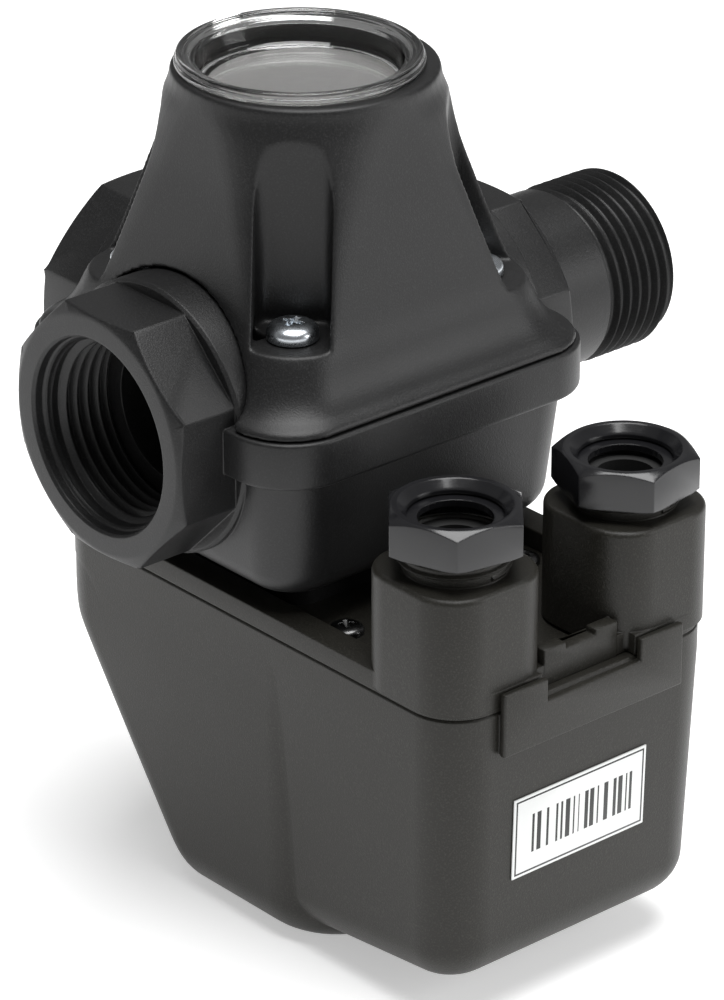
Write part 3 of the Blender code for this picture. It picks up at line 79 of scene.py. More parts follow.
class Bench:
    """Blender's modelling operators, used on one piece at a time as by hand."""

    origin: Vector = Vector((0.0, 0.0, 0.0))

    @staticmethod
    def start(name: str) -> bpy.types.Object:
        """Names the object just added and leaves it alone selected.

        Args:
            name: The piece's name.

        Returns:
            The new object.
        """
        piece = bpy.context.object
        piece.name = name
        piece.data.name = name
        return piece

    @staticmethod
    def clear() -> None:
        """Deselects everything."""
        bpy.ops.object.select_all(action="DESELECT")

    @staticmethod
    def take(piece: bpy.types.Object) -> None:
        """Makes one piece the selected and active one."""
        Bench.clear()
        piece.select_set(True)
        bpy.context.view_layer.objects.active = piece

    @staticmethod
    def edit(piece: bpy.types.Object) -> None:
        """Goes into edit mode on a piece."""
        Bench.take(piece)
        bpy.ops.object.mode_set(mode="EDIT")

    @staticmethod
    def leave() -> None:
        """Goes back to object mode."""
        bpy.ops.object.mode_set(mode="OBJECT")

    @staticmethod
    def block(name: str, low: Sequence[float], high: Sequence[float]) -> bpy.types.Object:
        """Adds a box between two corners.

        Args:
            name: The piece's name.
            low: Its lowest corner, in metres.
            high: Its highest corner, in metres.

        Returns:
            The box, with its size in its mesh.
        """
        Bench.clear()
        centre = [(a + b) / 2 for a, b in zip(low, high)]
        size = [b - a for a, b in zip(low, high)]
        bpy.ops.mesh.primitive_cube_add(size=1.0, location=centre, scale=size)
        piece = Bench.start(name)
        bpy.ops.object.transform_apply(location=True, rotation=True, scale=True)
        return piece

    @staticmethod
    def drum(name: str, radius: float, low: float, high: float, sides: int = 96) -> bpy.types.Object:
        """Adds an upright cylinder or regular prism.

        Args:
            name: The piece's name.
            radius: Its radius, or its corners' radius, in metres.
            low: Its lower end.
            high: Its upper end.
            sides: How many sides it has.

        Returns:
            The cylinder.
        """
        Bench.clear()
        bpy.ops.mesh.primitive_cylinder_add(
            vertices=sides, radius=radius, depth=high - low, location=(0, 0, (low + high) / 2)
        )
        piece = Bench.start(name)
        bpy.ops.object.transform_apply(location=True, rotation=True, scale=True)
        return piece

    @staticmethod
    def chain(name: str, points: Sequence[Point2]) -> bpy.types.Object:
        """Draws a chain of edges by extruding one vertex from point to point.

        Args:
            name: The piece's name.
            points: (radius, height) pairs, in metres.

        Returns:
            The chain, standing in the XZ plane.
        """
        Bench.clear()
        bpy.ops.mesh.primitive_plane_add(size=MM)
        piece = Bench.start(name)
        bpy.ops.object.mode_set(mode="EDIT")
        bpy.ops.mesh.select_mode(type="VERT")
        bpy.ops.mesh.select_all(action="SELECT")
        bpy.ops.mesh.merge(type="CENTER")
        bpy.ops.transform.translate(value=(points[0][0], 0.0, points[0][1]))
        for start, end in zip(points, points[1:]):
            step = (end[0] - start[0], 0.0, end[1] - start[1])
            bpy.ops.mesh.extrude_region_move(TRANSFORM_OT_translate={"value": step})
        Bench.leave()
        return piece

    @staticmethod
    def turned(name: str, points: Sequence[Point2], steps: int = 112) -> bpy.types.Object:
        """Spins a profile once about the Z axis into a closed solid.

        Args:
            name: The piece's name.
            points: (radius, height) pairs; a ring's profile ends where it began.
            steps: How many facets go round.

        Returns:
            The turned piece.
        """
        piece = Bench.chain(name, points)
        Bench.edit(piece)
        bpy.ops.mesh.select_all(action="SELECT")
        bpy.ops.mesh.spin(steps=steps, angle=FULL_TURN, center=(0, 0, 0), axis=(0, 0, 1))
        bpy.ops.mesh.select_all(action="SELECT")
        bpy.ops.mesh.remove_doubles(threshold=WELD)
        bpy.ops.mesh.normals_make_consistent(inside=False)
        Bench.leave()
        return piece

    @staticmethod
    def loft(name: str, rings: Sequence[Sequence[Sequence[float]]]) -> bpy.types.Object:
        """Joins rings of points into a solid that is capped at both ends.

        Args:
            name: The piece's name.
            rings: Rings with the same number of points, in millimetres.

        Returns:
            The lofted solid.
        """
        shape = bmesh.new()
        loops = [[shape.verts.new([value * MM for value in point]) for point in ring] for ring in rings]
        for lower, upper in zip(loops, loops[1:]):
            for index in range(len(lower)):
                after = (index + 1) % len(lower)
                shape.faces.new((lower[index], lower[after], upper[after], upper[index]))
        shape.faces.new(loops[-1])
        shape.faces.new(list(reversed(loops[0])))
        bmesh.ops.remove_doubles(shape, verts=shape.verts, dist=WELD)
        bmesh.ops.recalc_face_normals(shape, faces=shape.faces)
        mesh = bpy.data.meshes.new(name)
        shape.to_mesh(mesh)
        shape.free()
        piece = bpy.data.objects.new(name, mesh)
        bpy.context.scene.collection.objects.link(piece)
        return piece

    @staticmethod
    def round_profile(points: Sequence[Point2], radius: float, steps: int = 4) -> list[Point2]:
        """Rounds the inner corners of a profile.

        Args:
            points: (radius, height) pairs.
            radius: The rounding, limited by the edges that meet at each corner.
            steps: How many edges a rounding has.

        Returns:
            The rounded profile.
        """
        rounded: list[Point2] = [points[0]]
        for before, corner, after in zip(points, points[1:], points[2:]):
            here = Vector(corner)
            back = Vector(before) - here
            ahead = Vector(after) - here
            reach = min(radius, back.length * 0.45, ahead.length * 0.45)
            first = here + back.normalized() * reach
            last = here + ahead.normalized() * reach
            for step in range(steps + 1):
                share = step / steps
                curve = first * (1 - share) ** 2 + here * (2 * share * (1 - share)) + last * share**2
                rounded.append((curve.x, curve.y))
        rounded.append(points[-1])
        return rounded

    @staticmethod
    def thread(name: str, root: float, crest: float, pitch: float, low: float, turns: float,
               steps: int = 72) -> bpy.types.Object:
        """Winds one thread section along Z into a real helix.

        Args:
            name: The piece's name.
            root: The radius at the root.
            crest: The radius at the crest.
            pitch: The rise of one turn.
            low: Where the thread begins.
            turns: How many turns it makes.
            steps: How many facets one turn has.

        Returns:
            The open helical skin.
        """
        section = (
            (root, low),
            (root, low + pitch * 0.14),
            (crest + (root - crest) * 0.12, low + pitch * 0.43),
            (crest, low + pitch * 0.5),
            (crest + (root - crest) * 0.12, low + pitch * 0.57),
            (root, low + pitch * 0.86),
            (root, low + pitch),
        )
        piece = Bench.chain(name, section)
        Bench.take(piece)
        screw = piece.modifiers.new("helix", "SCREW")
        screw.axis = "Z"
        screw.angle = FULL_TURN
        screw.screw_offset = pitch
        screw.iterations = max(1, round(turns))
        screw.steps = steps
        screw.render_steps = steps
        screw.use_merge_vertices = False
        bpy.ops.object.modifier_apply(modifier=screw.name)
        Bench.edit(piece)
        bpy.ops.mesh.select_all(action="SELECT")
        bpy.ops.mesh.remove_doubles(threshold=WELD)
        bpy.ops.mesh.normals_make_consistent(inside=False)
        Bench.leave()
        outward = sum(
            polygon.normal.x * polygon.center.x + polygon.normal.y * polygon.center.y
            for polygon in piece.data.polygons
        )
        if (outward > 0) != (crest > root):
            piece.data.flip_normals()
        return piece

    @staticmethod
    def fade(piece: bpy.types.Object, stops: Sequence[Point2], outward: bool) -> None:
        """Runs a thread out by keeping its radius within a limit that changes along Z.

        Args:
            piece: The thread.
            stops: (height, limit) pairs in rising order, in metres.
            outward: True where the crests point outwards.
        """
        for vertex in piece.data.vertices:
            height = min(max(vertex.co.z, stops[0][0]), stops[-1][0])
            vertex.co.z = height
            index = 0
            while index < len(stops) - 2 and stops[index + 1][0] < height:
                index += 1
            (low, first), (high, last) = stops[index], stops[index + 1]
            limit = first + (last - first) * (height - low) / (high - low)
            radius = math.hypot(vertex.co.x, vertex.co.y)
            if (radius > limit) == outward:
                vertex.co.x *= limit / radius
                vertex.co.y *= limit / radius

    @staticmethod
    def pick_edges(test: Callable[[Vector, Vector], bool]) -> None:
        """Selects the edges whose two ends pass a test, in edit mode.

        Args:
            test: Takes an edge's middle and its direction.
        """
        mesh = bpy.context.object.data
        shape = bmesh.from_edit_mesh(mesh)
        for vertex in shape.verts:
            vertex.select = False
        for edge in shape.edges:
            start, end = edge.verts[0].co, edge.verts[1].co
            edge.select_set(test((start + end) / 2, (end - start).normalized()))
        bmesh.update_edit_mesh(mesh)

    @staticmethod
    def pick_faces(test: Callable[[Vector, Vector], bool]) -> None:
        """Selects the faces that pass a test, in edit mode.

        Args:
            test: Takes a face's middle and its normal.
        """
        mesh = bpy.context.object.data
        shape = bmesh.from_edit_mesh(mesh)
        for face in shape.faces:
            face.select_set(False)
        for face in shape.faces:
            if test(face.calc_center_median(), face.normal):
                face.select_set(True)
        bmesh.update_edit_mesh(mesh)

    @staticmethod
    def round_edges(piece: bpy.types.Object, test: Callable[[Vector, Vector], bool], radius: float,
                    steps: int) -> None:
        """Bevels the chosen edges of a piece.

        Args:
            piece: The piece.
            test: Takes an edge's middle and direction, and chooses it.
            radius: The bevel's width.
            steps: The bevel's segments.
        """
        Bench.edit(piece)
        bpy.ops.mesh.select_mode(type="EDGE")
        bpy.ops.mesh.select_all(action="DESELECT")
        Bench.pick_edges(test)
        bpy.ops.mesh.bevel(offset=radius, segments=steps, profile=0.5, affect="EDGES", clamp_overlap=True)
        Bench.leave()

    @staticmethod
    def soften(piece: bpy.types.Object, radius: float, steps: int = 3, angle: float = 35.0) -> None:
        """Bevels every edge sharper than an angle with an applied modifier.

        Args:
            piece: The piece.
            radius: The bevel's width.
            steps: The bevel's segments.
            angle: The sharpness that counts, in degrees.
        """
        Bench.take(piece)
        bevel = piece.modifiers.new("soften", "BEVEL")
        bevel.width = radius
        bevel.segments = steps
        bevel.limit_method = "ANGLE"
        bevel.angle_limit = math.radians(angle)
        bevel.use_clamp_overlap = True
        bpy.ops.object.modifier_apply(modifier=bevel.name)

    @staticmethod
    def boolean(piece: bpy.types.Object, tool: bpy.types.Object, operation: str) -> None:
        """Applies a Boolean with a tool and throws the tool away.

        Args:
            piece: The piece.
            tool: The tool.
            operation: DIFFERENCE, UNION or INTERSECT.
        """
        Bench.take(piece)
        modifier = piece.modifiers.new("boolean", "BOOLEAN")
        modifier.operation = operation
        modifier.solver = "EXACT"
        modifier.object = tool
        bpy.ops.object.modifier_apply(modifier=modifier.name)
        bpy.data.objects.remove(tool)

    @staticmethod
    def cut(piece: bpy.types.Object, *tools: bpy.types.Object) -> None:
        """Takes each tool away from a piece."""
        for tool in tools:
            Bench.boolean(piece, tool, "DIFFERENCE")

    @staticmethod
    def fuse(name: str, pieces: Iterable[bpy.types.Object]) -> bpy.types.Object:
        """Joins pieces of one moulding into one object.

        Args:
            name: The joined object's name.
            pieces: The pieces.

        Returns:
            The joined object.
        """
        pieces = list(pieces)
        Bench.clear()
        for piece in pieces:
            piece.select_set(True)
        bpy.context.view_layer.objects.active = pieces[0]
        if len(pieces) > 1:
            bpy.ops.object.join()
        return Bench.start(name)

    @staticmethod
    def copy(piece: bpy.types.Object, name: str) -> bpy.types.Object:
        """Copies a piece, with a mesh of its own.

        Args:
            piece: The piece.
            name: The copy's name.

        Returns:
            The copy.
        """
        Bench.take(piece)
        bpy.ops.object.duplicate(linked=False)
        return Bench.start(name)

    @staticmethod
    def face(piece: bpy.types.Object, facing: Facing) -> bpy.types.Object:
        """Turns a piece made along +Z towards a port's side."""
        tip, turn = facing.value
        piece.data.transform(Matrix.Rotation(turn, 4, "Z") @ Matrix.Rotation(tip, 4, "X"))
        return piece

    @staticmethod
    def move(piece: bpy.types.Object, spot: Sequence[float], turn: float = 0.0) -> bpy.types.Object:
        """Turns a piece about Z and moves it, in its mesh.

        Args:
            piece: The piece.
            spot: How far it moves.
            turn: The turn in degrees.

        Returns:
            The same piece.
        """
        place = Matrix.Translation(Vector(spot)) @ Matrix.Rotation(math.radians(turn), 4, "Z")
        piece.data.transform(place)
        return piece

    @staticmethod
    def rounded_block(name: str, low: Sequence[float], high: Sequence[float], corner: float,
                      steps: int = 10) -> bpy.types.Object:
        """Adds a box whose four upright edges are rounded.

        Args:
            name: The piece's name.
            low: Its lowest corner.
            high: Its highest corner.
            corner: The upright edges' radius.
            steps: How many facets one corner has.

        Returns:
            The rounded box.
        """
        piece = Bench.block(name, low, high)
        Bench.round_edges(piece, lambda _, way: abs(way.z) > 0.99, corner, steps)
        return piece

    @staticmethod
    def round_rim(piece: bpy.types.Object, height: float, radius: float, steps: int = 4) -> None:
        """Rounds the edges that lie level at one height."""
        near = 0.02 * MM
        Bench.round_edges(
            piece, lambda middle, way: abs(middle.z - height) < near and abs(way.z) < 0.01, radius, steps
        )

    @staticmethod
    def finish(piece: bpy.types.Object, material: bpy.types.Material, angle: float = 32.0) -> None:
        """Shades a finished piece, gives it its material and moves it into the frame.

        Args:
            piece: The piece.
            material: Its finish.
            angle: The angle above which an edge stays sharp, in degrees.
        """
        Bench.take(piece)
        piece.data.transform(Matrix.Translation(Bench.origin))
        bpy.ops.object.shade_smooth_by_angle(angle=math.radians(angle))
        piece.data.materials.clear()
        piece.data.materials.append(material)
        LOG.info("built %s with %d faces", piece.name, len(piece.data.polygons))


# ---------------------------------------------------------------- shader maths


class Value:
    """A shader socket whose operators add Math nodes."""

    def __init__(self, shader: "Shader", socket: bpy.types.NodeSocket) -> None:
        """Wraps a socket of a shader under construction."""
        self.shader = shader
        self.socket = socket

    def _math(self, operation: str, first: object, second: object) -> "Value":
        """Adds one Math node over two values or numbers."""
        return self.shader.node("ShaderNodeMath", {"operation": operation}, {0: first, 1: second})

    def __add__(self, other: object) -> "Value":
        """Adds."""
        return self._math("ADD", self, other)

    def __radd__(self, other: object) -> "Value":
        """Adds, reflected."""
        return self._math("ADD", other, self)

    def __sub__(self, other: object) -> "Value":
        """Subtracts."""
        return self._math("SUBTRACT", self, other)

    def __rsub__(self, other: object) -> "Value":
        """Subtracts, reflected."""
        return self._math("SUBTRACT", other, self)

    def __mul__(self, other: object) -> "Value":
        """Multiplies."""
        return self._math("MULTIPLY", self, other)

    def __rmul__(self, other: object) -> "Value":
        """Multiplies, reflected."""
        return self._math("MULTIPLY", other, self)

    def over(self, edge: float) -> "Value":
        """1 where the value is over an edge."""
        return self._math("GREATER_THAN", self, edge)

    def under(self, edge: float) -> "Value":
        """1 where the value is under an edge."""
        return self._math("LESS_THAN", self, edge)


class Shader:
    """One material under construction."""

    def __init__(self, name: str) -> None:
        """Starts a material with only a Principled shader and an output."""
        self.material = bpy.data.materials.new(name)
        self.material.use_nodes = True
        self.tree = self.material.node_tree
        self.principled = self.tree.nodes["Principled BSDF"]
        self.place = self.node("ShaderNodeTexCoord", {}, {}, "Object")

    def node(self, kind: str, settings: dict, inputs: dict, output: object = 0) -> Value:
        """Adds a node.

        Args:
            kind: The node's type.
            settings: Its properties, set first; a ramp takes "stops".
            inputs: Values or links by input name or index.
            output: The output's name or index.

        Returns:
            The chosen output.
        """
        made = self.tree.nodes.new(kind)
        for name, value in settings.items():
            if name == "stops":
                self._stops(made.color_ramp, value)
            else:
                setattr(made, name, value)
        for name, value in inputs.items():
            socket = made.inputs[name]
            if isinstance(value, Value):
                self.tree.links.new(value.socket, socket)
            else:
                socket.default_value = value
        return Value(self, made.outputs[output])

    @staticmethod
    def _stops(ramp: bpy.types.ColorRamp, stops: Sequence[tuple[float, float]]) -> None:
        """Sets a ramp's grey stops.

        Args:
            ramp: The ramp.
            stops: (place, grey) pairs in rising order.
        """
        for index, (place, grey) in enumerate(stops):
            stop = ramp.elements[index] if index < 2 else ramp.elements.new(place)
            stop.position = place
            stop.color = (grey, grey, grey, 1.0)

    def noise(self, size: float, detail: float = 2.0, roughness: float = 0.5) -> Value:
        """Noise whose features are about one size, in metres.

        Args:
            size: The size of a feature.
            detail: How many finer layers it has.
            roughness: How strong the finer layers are.

        Returns:
            The noise, from 0 to 1.
        """
        settings = {"noise_dimensions": "3D"}
        inputs = {"Vector": self.place, "Scale": 1.0 / size, "Detail": detail, "Roughness": roughness}
        return self.node("ShaderNodeTexNoise", settings, inputs, "Fac")

    def ramp(self, value: Value, stops: Sequence[tuple[float, float]]) -> Value:
        """Remaps a value through grey stops."""
        return self.node("ShaderNodeValToRGB", {"stops": stops}, {"Fac": value}, "Color")

    def blend(self, share: object, first: Sequence[float], second: Sequence[float]) -> Value:
        """Mixes two colours.

        Args:
            share: The second colour's share.
            first: The first colour.
            second: The second colour.

        Returns:
            The mixed colour.
        """
        inputs = {0: share, 6: (*first, 1.0), 7: (*second, 1.0)}
        return self.node("ShaderNodeMix", {"data_type": "RGBA"}, inputs, 2)

    def product(self, first: Value, second: Value) -> Value:
        """Multiplies two colours.

        Args:
            first: The first colour.
            second: The second colour.

        Returns:
            Their product.
        """
        settings = {"data_type": "RGBA", "blend_type": "MULTIPLY"}
        return self.node("ShaderNodeMix", settings, {0: 1.0, 6: first, 7: second}, 2)

    def bump(self, height: Value, depth: float, strength: float, edge: float = 0.0) -> None:
        """Feeds the normal from a bump, over softened edges if asked.

        Args:
            height: The bump's height from 0 to 1.
            depth: How deep it is, in metres.
            strength: How strongly it shows.
            edge: The radius to which edges are softened, or 0.
        """
        inputs = {"Height": height, "Distance": depth, "Strength": strength}
        if edge > 0.0:
            inputs["Normal"] = self.node("ShaderNodeBevel", {"samples": 4}, {"Radius": edge})
        self.feed("Normal", self.node("ShaderNodeBump", {}, inputs))

    def feed(self, name: str, value: object) -> None:
        """Links or sets one input of the Principled shader.

        Args:
            name: The input's name.
            value: A value to link, or a constant to set.
        """
        socket = self.principled.inputs[name]
        if isinstance(value, Value):
            self.tree.links.new(value.socket, socket)
        else:
            socket.default_value = value


# ---------------------------------------------------------------- finishes


@dataclass(frozen=True)
class MouldedPlastic:
    """Black moulded plastic with a fine spark-eroded grain."""

    name: str
    colour: tuple[float, float, float]
    roughness: float = 0.42
    grain: float = 0.32 * MM
    grain_depth: float = 0.06 * MM
    edge: float = 0.35 * MM
    gloss: float = 0.5

    def make(self) -> bpy.types.Material:
        """Builds the material."""
        shader = Shader(self.name)
        grain = shader.noise(self.grain, 3.0, 0.6)
        cloud = shader.noise(14.0 * MM, 3.0)
        speck = shader.ramp(grain, ((0.5, 0.0), (0.74, 1.0)))
        lighter = tuple(min(1.0, channel * 2.4 + 0.012) for channel in self.colour)
        shader.feed("Base Color", shader.blend(speck * 0.7 + cloud * 0.2, self.colour, lighter))
        shader.feed("Roughness", cloud * 0.1 + grain * 0.2 + (self.roughness - 0.15))
        shader.feed("Specular IOR Level", self.gloss)
        shader.bump(grain, self.grain_depth, 0.8, self.edge)
        return shader.material


@dataclass(frozen=True)
class GlossPlastic:
    """Glossy black plastic with faint sink and tool marks."""

    name: str
    colour: tuple[float, float, float]
    roughness: float = 0.16

    def make(self) -> bpy.types.Material:
        """Builds the material."""
        shader = Shader(self.name)
        wave = shader.noise(3.5 * MM, 2.0)
        fine = shader.noise(0.3 * MM, 2.0)
        shader.feed("Base Color", shader.blend(wave, self.colour, tuple(c * 1.5 for c in self.colour)))
        shader.feed("Roughness", wave * 0.12 + fine * 0.08 + (self.roughness - 0.08))
        shader.bump(wave * 0.7 + fine * 0.3, 0.05 * MM, 0.35, 0.3 * MM)
        return shader.material


@dataclass(frozen=True)
class ClearPlastic:
    """Clear polycarbonate."""

    name: str

    def make(self) -> bpy.types.Material:
        """Builds the material."""
        shader = Shader(self.name)
        wave = shader.noise(5.0 * MM, 2.0)
        shader.feed("Base Color", (0.97, 0.975, 0.97, 1.0))
        shader.feed("Transmission Weight", 1.0)
        shader.feed("IOR", 1.52)
        shader.feed("Roughness", wave * 0.05 + 0.01)
        shader.bump(wave, 0.02 * MM, 0.15)
        return shader.material


@dataclass(frozen=True)
class ZincSteel:
    """Bright zinc-plated steel with fine turning marks."""

    name: str
    colour: tuple[float, float, float] = (0.7, 0.74, 0.78)

    def make(self) -> bpy.types.Material:
        """Builds the material."""
        shader = Shader(self.name)
        cloud = shader.noise(1.6 * MM, 3.0)
        fine = shader.noise(0.12 * MM, 2.0)
        darker = tuple(channel * 0.72 for channel in self.colour)
        shader.feed("Base Color", shader.blend(cloud, self.colour, darker))
        shader.feed("Metallic", 1.0)
        shader.feed("Roughness", cloud * 0.22 + fine * 0.1 + 0.12)
        shader.bump(fine, 0.01 * MM, 0.3, 0.12 * MM)
        return shader.material


@dataclass(frozen=True)
class PlainMoulding:
    """A plain moulded or painted surface of one hue, with slight mottling."""

    name: str
    colour: tuple[float, float, float]
    roughness: float = 0.45
    mottle: float = 2.0 * MM

    def make(self) -> bpy.types.Material:
        """Builds the material."""
        shader = Shader(self.name)
        cloud = shader.noise(self.mottle, 3.0)
        fine = shader.noise(0.2 * MM, 2.0)
        darker = tuple(channel * 0.82 for channel in self.colour)
        shader.feed("Base Color", shader.blend(cloud, self.colour, darker))
        shader.feed("Roughness", cloud * 0.14 + fine * 0.08 + (self.roughness - 0.1))
        shader.bump(fine, 0.02 * MM, 0.25)
        return shader.material


@dataclass(frozen=True)
class LabelFoil:
    """White foil with a thin dark border and plain dark bars instead of words."""

    name: str
    low: Vector
    high: Vector
    border: float = 0.35 * MM
    margin: float = 0.5 * MM

    def make(self) -> bpy.types.Material:
        """Builds the material."""
        shader = Shader(self.name)
        across = shader.node("ShaderNodeSeparateXYZ", {}, {0: shader.place}, "Y")
        up = shader.node("ShaderNodeSeparateXYZ", {}, {0: shader.place}, "Z")
        outer = self._inside(across, up, self.margin)
        inner = self._inside(across, up, self.margin + self.border)
        frame_mask = outer * (1.0 - inner)
        bars = self._bars(shader, across, up)
        paper = shader.noise(0.6 * MM, 2.0)
        white = shader.blend(paper * 0.25, (0.83, 0.84, 0.83), (0.72, 0.74, 0.73))
        inked = shader.blend(frame_mask, (1.0, 1.0, 1.0), (0.02, 0.02, 0.02))
        marked = shader.blend(bars, (1.0, 1.0, 1.0), (0.02, 0.02, 0.02))
        shader.feed("Base Color", shader.product(shader.product(white, inked), marked))
        shader.feed("Roughness", paper * 0.1 + 0.3)
        shader.bump(paper, 0.01 * MM, 0.2)
        return shader.material

    def _inside(self, across: Value, up: Value, inset: float) -> Value:
        """1 inside the label's outline drawn in by an inset.

        Args:
            across: The place across the label.
            up: The height.
            inset: How far in, in metres.

        Returns:
            The mask.
        """
        return (
            across.over(self.low.y + inset)
            * across.under(self.high.y - inset)
            * up.over(self.low.z + inset)
            * up.under(self.high.z - inset)
        )

    def _bars(self, shader: Shader, across: Value, up: Value) -> Value:
        """A row of upright bars of uneven width, as plain marks.

        Args:
            shader: The material under construction.
            across: The place across the label.
            up: The height.

        Returns:
            The mask.
        """
        stripe = shader.node(
            "ShaderNodeTexNoise",
            {"noise_dimensions": "1D"},
            {"W": across, "Scale": 900.0, "Detail": 0.0},
            "Fac",
        )
        height = self.high.z - self.low.z
        width = self.high.y - self.low.y
        band = (
            up.over(self.low.z + 0.26 * height)
            * up.under(self.high.z - 0.26 * height)
            * across.over(self.low.y + 0.1 * width)
            * across.under(self.high.y - 0.1 * width)
        )
        return band * stripe.over(0.52)


# ---------------------------------------------------------------- cone cover


@dataclass
class Cover:
    """The bell-shaped cover, round at its top and square at its foot."""

    finish: bpy.types.Material
    sections: tuple[tuple[float, float, float], ...] = (
        (6.4, 36.7, 12.0),
        (7.4, 36.3, 11.8),
        (8.6, 34.5, 11.4),
        (10.6, 32.8, 11.0),
        (13.2, 31.5, 10.8),
        (16.5, 30.4, 11.0),
        (20.0, 29.2, 12.2),
        (27.0, 27.4, 13.4),
        (33.0, 26.0, 14.6),
        (40.0, 24.5, 16.2),
        (45.0, 23.8, 17.6),
        (50.0, 23.3, 19.6),
        (53.4, 23.15, 22.4),
        (55.6, 23.1, 23.09),
    )
    levels: int = 90
    channel_half: float = 6.6
    channel_back: float = 23.0
    channel_lean: float = 1.4 / 34.3
    channel_floor: float = 17.7
    channel_corner: float = 2.3
    arch_radius: float = 24.75
    seat_radius: float = 19.9
    seat_floor: float = 49.4
    voxel: float = 0.32
    kept_share: float = 0.42
    lip_share: float = 0.983
    lip_rise: float = 0.35

    def _section(self, height: float) -> tuple[float, float]:
        """Half width and corner radius at a height, by smooth steps between the sections.

        Args:
            height: The height above the port axes, in millimetres.

        Returns:
            The half width and the corner radius.
        """
        rows = self.sections
        index = 0
        while index < len(rows) - 2 and rows[index + 1][0] < height:
            index += 1
        values: list[float] = []
        share = (height - rows[index][0]) / (rows[index + 1][0] - rows[index][0])
        share = min(max(share, 0.0), 1.0)
        for column in (1, 2):
            start, end = rows[index], rows[index + 1]
            before, after = rows[max(index - 1, 0)], rows[min(index + 2, len(rows) - 1)]
            run = end[0] - start[0]
            slope_in = (end[column] - before[column]) / (end[0] - before[0]) * run
            slope_out = (after[column] - start[column]) / (after[0] - start[0]) * run
            squared, cubed = share**2, share**3
            values.append(
                start[column] * (2 * cubed - 3 * squared + 1)
                + slope_in * (cubed - 2 * squared + share)
                + end[column] * (3 * squared - 2 * cubed)
                + slope_out * (cubed - squared)
            )
        return values[0], min(values[1], values[0] - 0.01)

    def _outline(self, half: float, corner: float, steps: int = 14) -> list[Point2]:
        """A rounded square with the same number of points at every height.

        Args:
            half: Its half width.
            corner: Its corner radius.
            steps: How many facets one corner has.

        Returns:
            The outline's points.
        """
        points: list[Point2] = []
        for quarter in range(4):
            start = math.pi / 2 * quarter
            signs = ((1, 1), (-1, 1), (-1, -1), (1, -1))[quarter]
            centre = (signs[0] * (half - corner), signs[1] * (half - corner))
            for step in range(steps + 1):
                angle = start + math.pi / 2 * step / steps
                points.append((centre[0] + corner * math.cos(angle), centre[1] + corner * math.sin(angle)))
            ahead = start + math.pi / 2
            side = Vector((math.cos(ahead), math.sin(ahead)))
            along = Vector((-side.y, side.x))
            for step in range(1, 8):
                slide = (half - corner) * (1 - step / 4)
                spot = side * half - along * slide
                points.append((spot.x, spot.y))
        return points

    def _bell(self) -> bpy.types.Object:
        """Lofts the outer bell, which no primitive gives, as rings of points.

        Returns:
            The solid bell.
        """
        low, high = self.sections[0][0], self.sections[-1][0]
        heights = [low + (high - low) * (index / self.levels) for index in range(self.levels + 1)]
        rings = [[(x, y, height) for x, y in self._outline(*self._section(height))] for height in heights]
        rings.append([(x * self.lip_share, y * self.lip_share, z + self.lip_rise) for x, y, z in rings[-1]])
        return Bench.loft("cover_bell", rings)

    def _channel(self, turn: float) -> bpy.types.Object:
        """A tool for one upright U-shaped channel over a corner screw.

        Args:
            turn: The corner's direction, in degrees.

        Returns:
            The tool.
        """
        low, high = self.channel_floor * MM, 70.0 * MM
        back = self.channel_back * MM
        half = self.channel_half * MM
        tool = Bench.block("channel_tool", (back, -half, low), (back + 60 * MM, half, high))
        Bench.round_edges(
            tool,
            lambda middle, way: abs(way.z) > 0.99 and middle.x < back + MM,
            self.channel_corner * MM,
            8,
        )
        shear = Matrix.Identity(4)
        shear[0][2] = self.channel_lean
        tool.data.transform(Matrix.Translation((-low * self.channel_lean, 0, 0)) @ shear)
        return Bench.move(tool, (0, 0, 0), turn)

    def build(self) -> bpy.types.Object:
        """Models the cover.

        Returns:
            The finished cover.
        """
        cover = self._bell()
        tools = [self._channel(45.0 + 90.0 * index) for index in range(4)]
        for facing in (Facing.FRONT_LEFT, Facing.REAR_LEFT, Facing.REAR_RIGHT):
            arch = Bench.drum("arch_tool", self.arch_radius * MM, 23.5 * MM, 60 * MM)
            tools.append(Bench.face(arch, facing))
        tools.append(Bench.drum("seat_tool", self.seat_radius * MM, self.seat_floor * MM, 70 * MM))
        Bench.cut(cover, *tools)
        Bench.take(cover)
        remesh = cover.modifiers.new("skin", "REMESH")
        remesh.mode = "VOXEL"
        remesh.voxel_size = self.voxel * MM
        bpy.ops.object.modifier_apply(modifier=remesh.name)
        smooth = cover.modifiers.new("relax", "SMOOTH")
        smooth.factor = 0.5
        smooth.iterations = 16
        bpy.ops.object.modifier_apply(modifier=smooth.name)
        thin = cover.modifiers.new("thin", "DECIMATE")
        thin.ratio = self.kept_share
        bpy.ops.object.modifier_apply(modifier=thin.name)
        cover.name = "cover_moulding"
        Bench.finish(cover, self.finish, 180.0)
        return cover


# ---------------------------------------------------------------- water body


